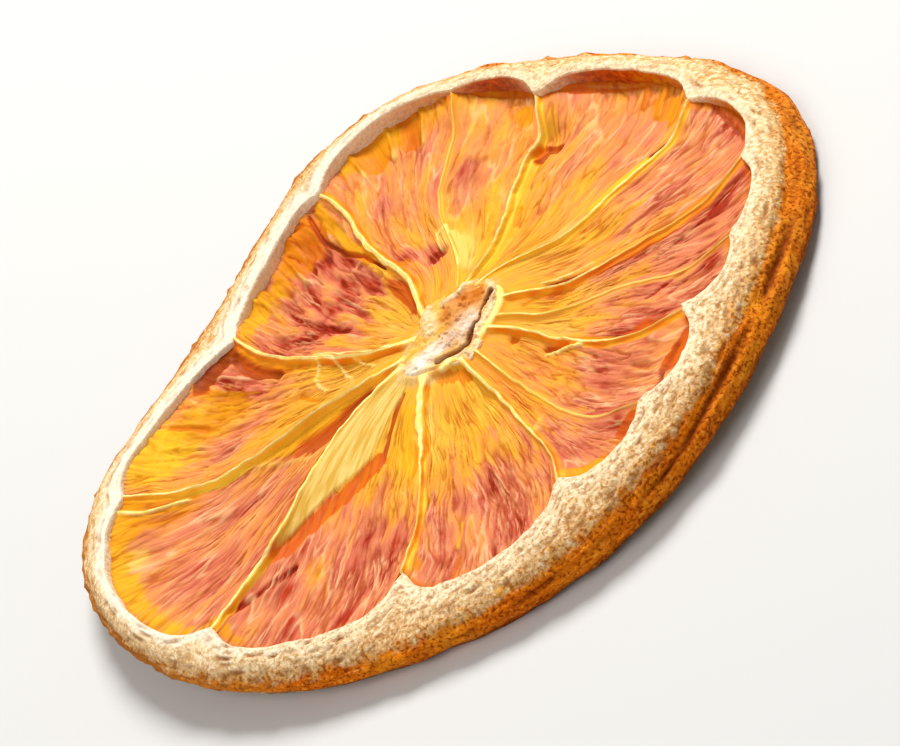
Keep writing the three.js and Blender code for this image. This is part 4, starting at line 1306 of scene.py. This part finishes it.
def rind_material(speckle):
    """Dried rind: spongy pith with brown pits and crust, orange peel with painted shade in its groove and
    towards its underside, and the glassy inner wall.
    """
    material, maker, shader = new_material("dried rind")
    place = maker.node("ShaderNodeTexCoord").outputs["Object"]
    grain = place_group(maker, speckle, place, scale=3600.0, stretch=0.3)
    patches = place_group(maker, speckle, place, scale=1900.0, stretch=0.4)
    clouds = place_group(maker, speckle, place, scale=160.0, stretch=0.4)

    pith_near = maker.two_tone(patches, 0.40, 0.56, (216, 170, 112), (244, 214, 166))
    pith_far = maker.two_tone(patches, 0.40, 0.56, (206, 156, 88), (236, 202, 148))
    pith = maker.over(pith_far, "near", pith_near)
    white = maker.blend(maker.mask("left"), (242, 222, 188), (240, 230, 208))
    pith = maker.over(pith, "white", white)
    pith = maker.blend(maker.range(grain, 0.44, 0.38, 0.0, 0.7), pith, (252, 238, 206))
    dotted = maker.times(maker.range(maker.mask("near"), 0.0, 1.0, 0.35, 0.65),
                         maker.range(maker.mask("left"), 0.0, 1.0, 1.0, 0.4))
    speckled = maker.times(maker.range(grain, 0.54, 0.62), dotted)
    pith = maker.blend(speckled, pith, (170, 116, 58))
    crust = maker.two_tone(grain, 0.42, 0.58, (228, 168, 84), (166, 94, 26))
    crusted = maker.times(maker.mask("crust"), maker.range(patches, 0.44, 0.56, 0.2, 1.0))
    pith = maker.blend(crusted, pith, crust)
    pith = maker.over(pith, "pit", (154, 98, 48))

    zest_near = maker.two_tone(clouds, 0.4, 0.6, (222, 110, 8), (242, 146, 24))
    zest_far = maker.two_tone(clouds, 0.4, 0.6, (220, 126, 24), (236, 152, 50))
    zest = maker.over(zest_far, "near", zest_near)
    # Browner mottles on the peel, with painted shade in its groove and towards its underside
    browned_and_shaded = maker.times(maker.mask("browning_and_shade"), maker.range(patches, 0.35, 0.60, 0.25, 1.0))
    zest = maker.blend(browned_and_shaded, zest, (188, 86, 4))
    zest = maker.blend(maker.range(grain, 0.44, 0.36, 0.0, 0.6), zest, (250, 166, 56))
    zest = maker.blend(maker.range(grain, 0.54, 0.62, 0.0, 0.8), zest, (118, 44, 3))
    zest = maker.over(zest, "dimple", (140, 58, 4), 0.45)
    # Painted shade in the peel's groove and on its lower band
    zest = maker.over(zest, "groove", (112, 40, 3), 0.85)
    zest = maker.over(zest, "left", (172, 106, 44), 0.8)

    colour = maker.over(pith, "peel", zest)
    wall_tone = maker.plus(maker.mask("walltone"), maker.range(patches, 0.3, 0.7, -0.2, 0.2))
    colour = maker.over(colour, "wall", maker.ramp(wall_tone, GLASSY_TONES))
    maker.feed(shader.inputs["Base Color"], colour)
    maker.feed(shader.inputs["Roughness"], maker.range(maker.mask("peel"), 0.0, 1.0, 0.85, 0.6))
    shader.inputs["Specular IOR Level"].default_value = 0.5 * DULLNESS
    height = maker.number("SUBTRACT", maker.times(patches, 0.6), grain)
    bumped(maker, shader, height, strength=0.7, depth=0.00016)
    return material


def core_material(speckle):
    """Dried core: amber and tan sponge, dull or white in the middle, with painted shade in its crevice and
    pores.
    """
    material, maker, shader = new_material("dried core")
    place = maker.node("ShaderNodeTexCoord").outputs["Object"]
    grain = place_group(maker, speckle, place, scale=2800.0, stretch=0.3)
    patches = place_group(maker, speckle, place, scale=1100.0, stretch=0.4)
    colour = maker.two_tone(patches, 0.38, 0.62, (224, 158, 44), (238, 188, 96))
    tan = maker.two_tone(patches, 0.38, 0.62, (194, 104, 24), (214, 146, 76))
    dull = maker.two_tone(patches, 0.38, 0.62, (204, 160, 126), (232, 204, 180))
    bright = maker.two_tone(patches, 0.38, 0.62, (224, 198, 166), (244, 232, 216))
    ridge = maker.two_tone(grain, 0.4, 0.6, (222, 182, 124), (240, 218, 176))
    colour = maker.over(colour, "tan", tan)
    colour = maker.over(colour, "strip", maker.over(dull, "bright", bright))
    colour = maker.over(colour, "ridge", ridge, 0.85)
    # Painted shade in the crevice and the pores
    colour = maker.over(colour, "crevice_and_pore_shade", (122, 56, 14))
    maker.feed(shader.inputs["Base Color"], colour)
    shader.inputs["Roughness"].default_value = 0.8
    shader.inputs["Specular IOR Level"].default_value = DULLNESS
    bumped(maker, shader, grain, strength=0.9, depth=0.00018)
    return material


fibre_group = texture_group("pulp fibres", fibre_value)
speckle_group = texture_group("dry speckle", speckle_value)
flesh_finish = flesh_material(fibre_group, speckle_group)
rind_finish = rind_material(speckle_group)
core_finish = core_material(speckle_group)

dried_rind(rind_finish)
for number in range(SEGMENT_COUNT):
    dried_segment(number, flesh_finish)
dried_core(core_finish)


# Floor, light and camera

FLOOR_SIZE = 2
FLOOR_COLOUR = (208, 206, 202)
WORLD_STRENGTH = 0.30


def studio():
    """A plain pale floor, two soft lights and an even sky."""
    deselect()
    bpy.ops.mesh.primitive_plane_add(size=FLOOR_SIZE, location=(0, 0, 0))
    floor = bpy.context.object
    floor.name = "floor"
    material, maker, shader = new_material("pale floor")
    maker.feed_colour(shader.inputs["Base Color"], FLOOR_COLOUR)
    shader.inputs["Roughness"].default_value = 0.9
    floor.data.materials.append(material)

    def soft_light(name, azimuth, elevation, distance, size, power):
        light = bpy.data.lights.new(name, "AREA")
        light.shape = "DISK"
        light.size = size
        light.energy = power
        lamp = bpy.data.objects.new(name, light)
        bpy.context.scene.collection.objects.link(lamp)
        a, e = math.radians(azimuth), math.radians(elevation)
        away = Vector((math.cos(a) * math.cos(e), math.sin(a) * math.cos(e), math.sin(e)))
        lamp.location = away * distance
        lamp.rotation_mode = "QUATERNION"
        lamp.rotation_quaternion = away.to_track_quat("Z", "Y")

    soft_light("key", azimuth=48, elevation=50, distance=0.5, size=0.22, power=3.2)
    soft_light("fill", azimuth=215, elevation=50, distance=0.6, size=0.5, power=1.5)
    world = bpy.data.worlds.new("studio")
    world.use_nodes = True
    background = world.node_tree.nodes["Background"]
    background.inputs["Color"].default_value = (1, 1, 1, 1)
    background.inputs["Strength"].default_value = WORLD_STRENGTH
    bpy.context.scene.world = world


CAMERA_AIM = (-0.0002, -0.00278, 0.00238)
CAMERA_DISTANCE = 0.38
CAMERA_ELEVATION = 36
CAMERA_ROLL = 42
CAMERA_LENS = 212.1


def camera():
    """The camera, at the angle from which the slice is shown."""
    elevation = math.radians(CAMERA_ELEVATION)
    roll = math.radians(CAMERA_ROLL)
    forward = Vector((0, math.cos(elevation), -math.sin(elevation)))
    level = Vector((1, 0, 0))
    upright = level.cross(forward)
    right = math.cos(roll) * level - math.sin(roll) * upright
    up = math.sin(roll) * level + math.cos(roll) * upright
    data = bpy.data.cameras.new("camera")
    data.lens = CAMERA_LENS
    data.sensor_width = 36
    data.clip_start = 0.01
    data.clip_end = 10
    cam = bpy.data.objects.new("camera", data)
    bpy.context.scene.collection.objects.link(cam)
    turn = Matrix((right, up, -forward)).transposed().to_4x4()
    cam.matrix_world = Matrix.Translation(Vector(CAMERA_AIM) - forward * CAMERA_DISTANCE) @ turn
    bpy.context.scene.camera = cam


studio()
camera()
bpy.context.scene.view_settings.view_transform = "Standard"
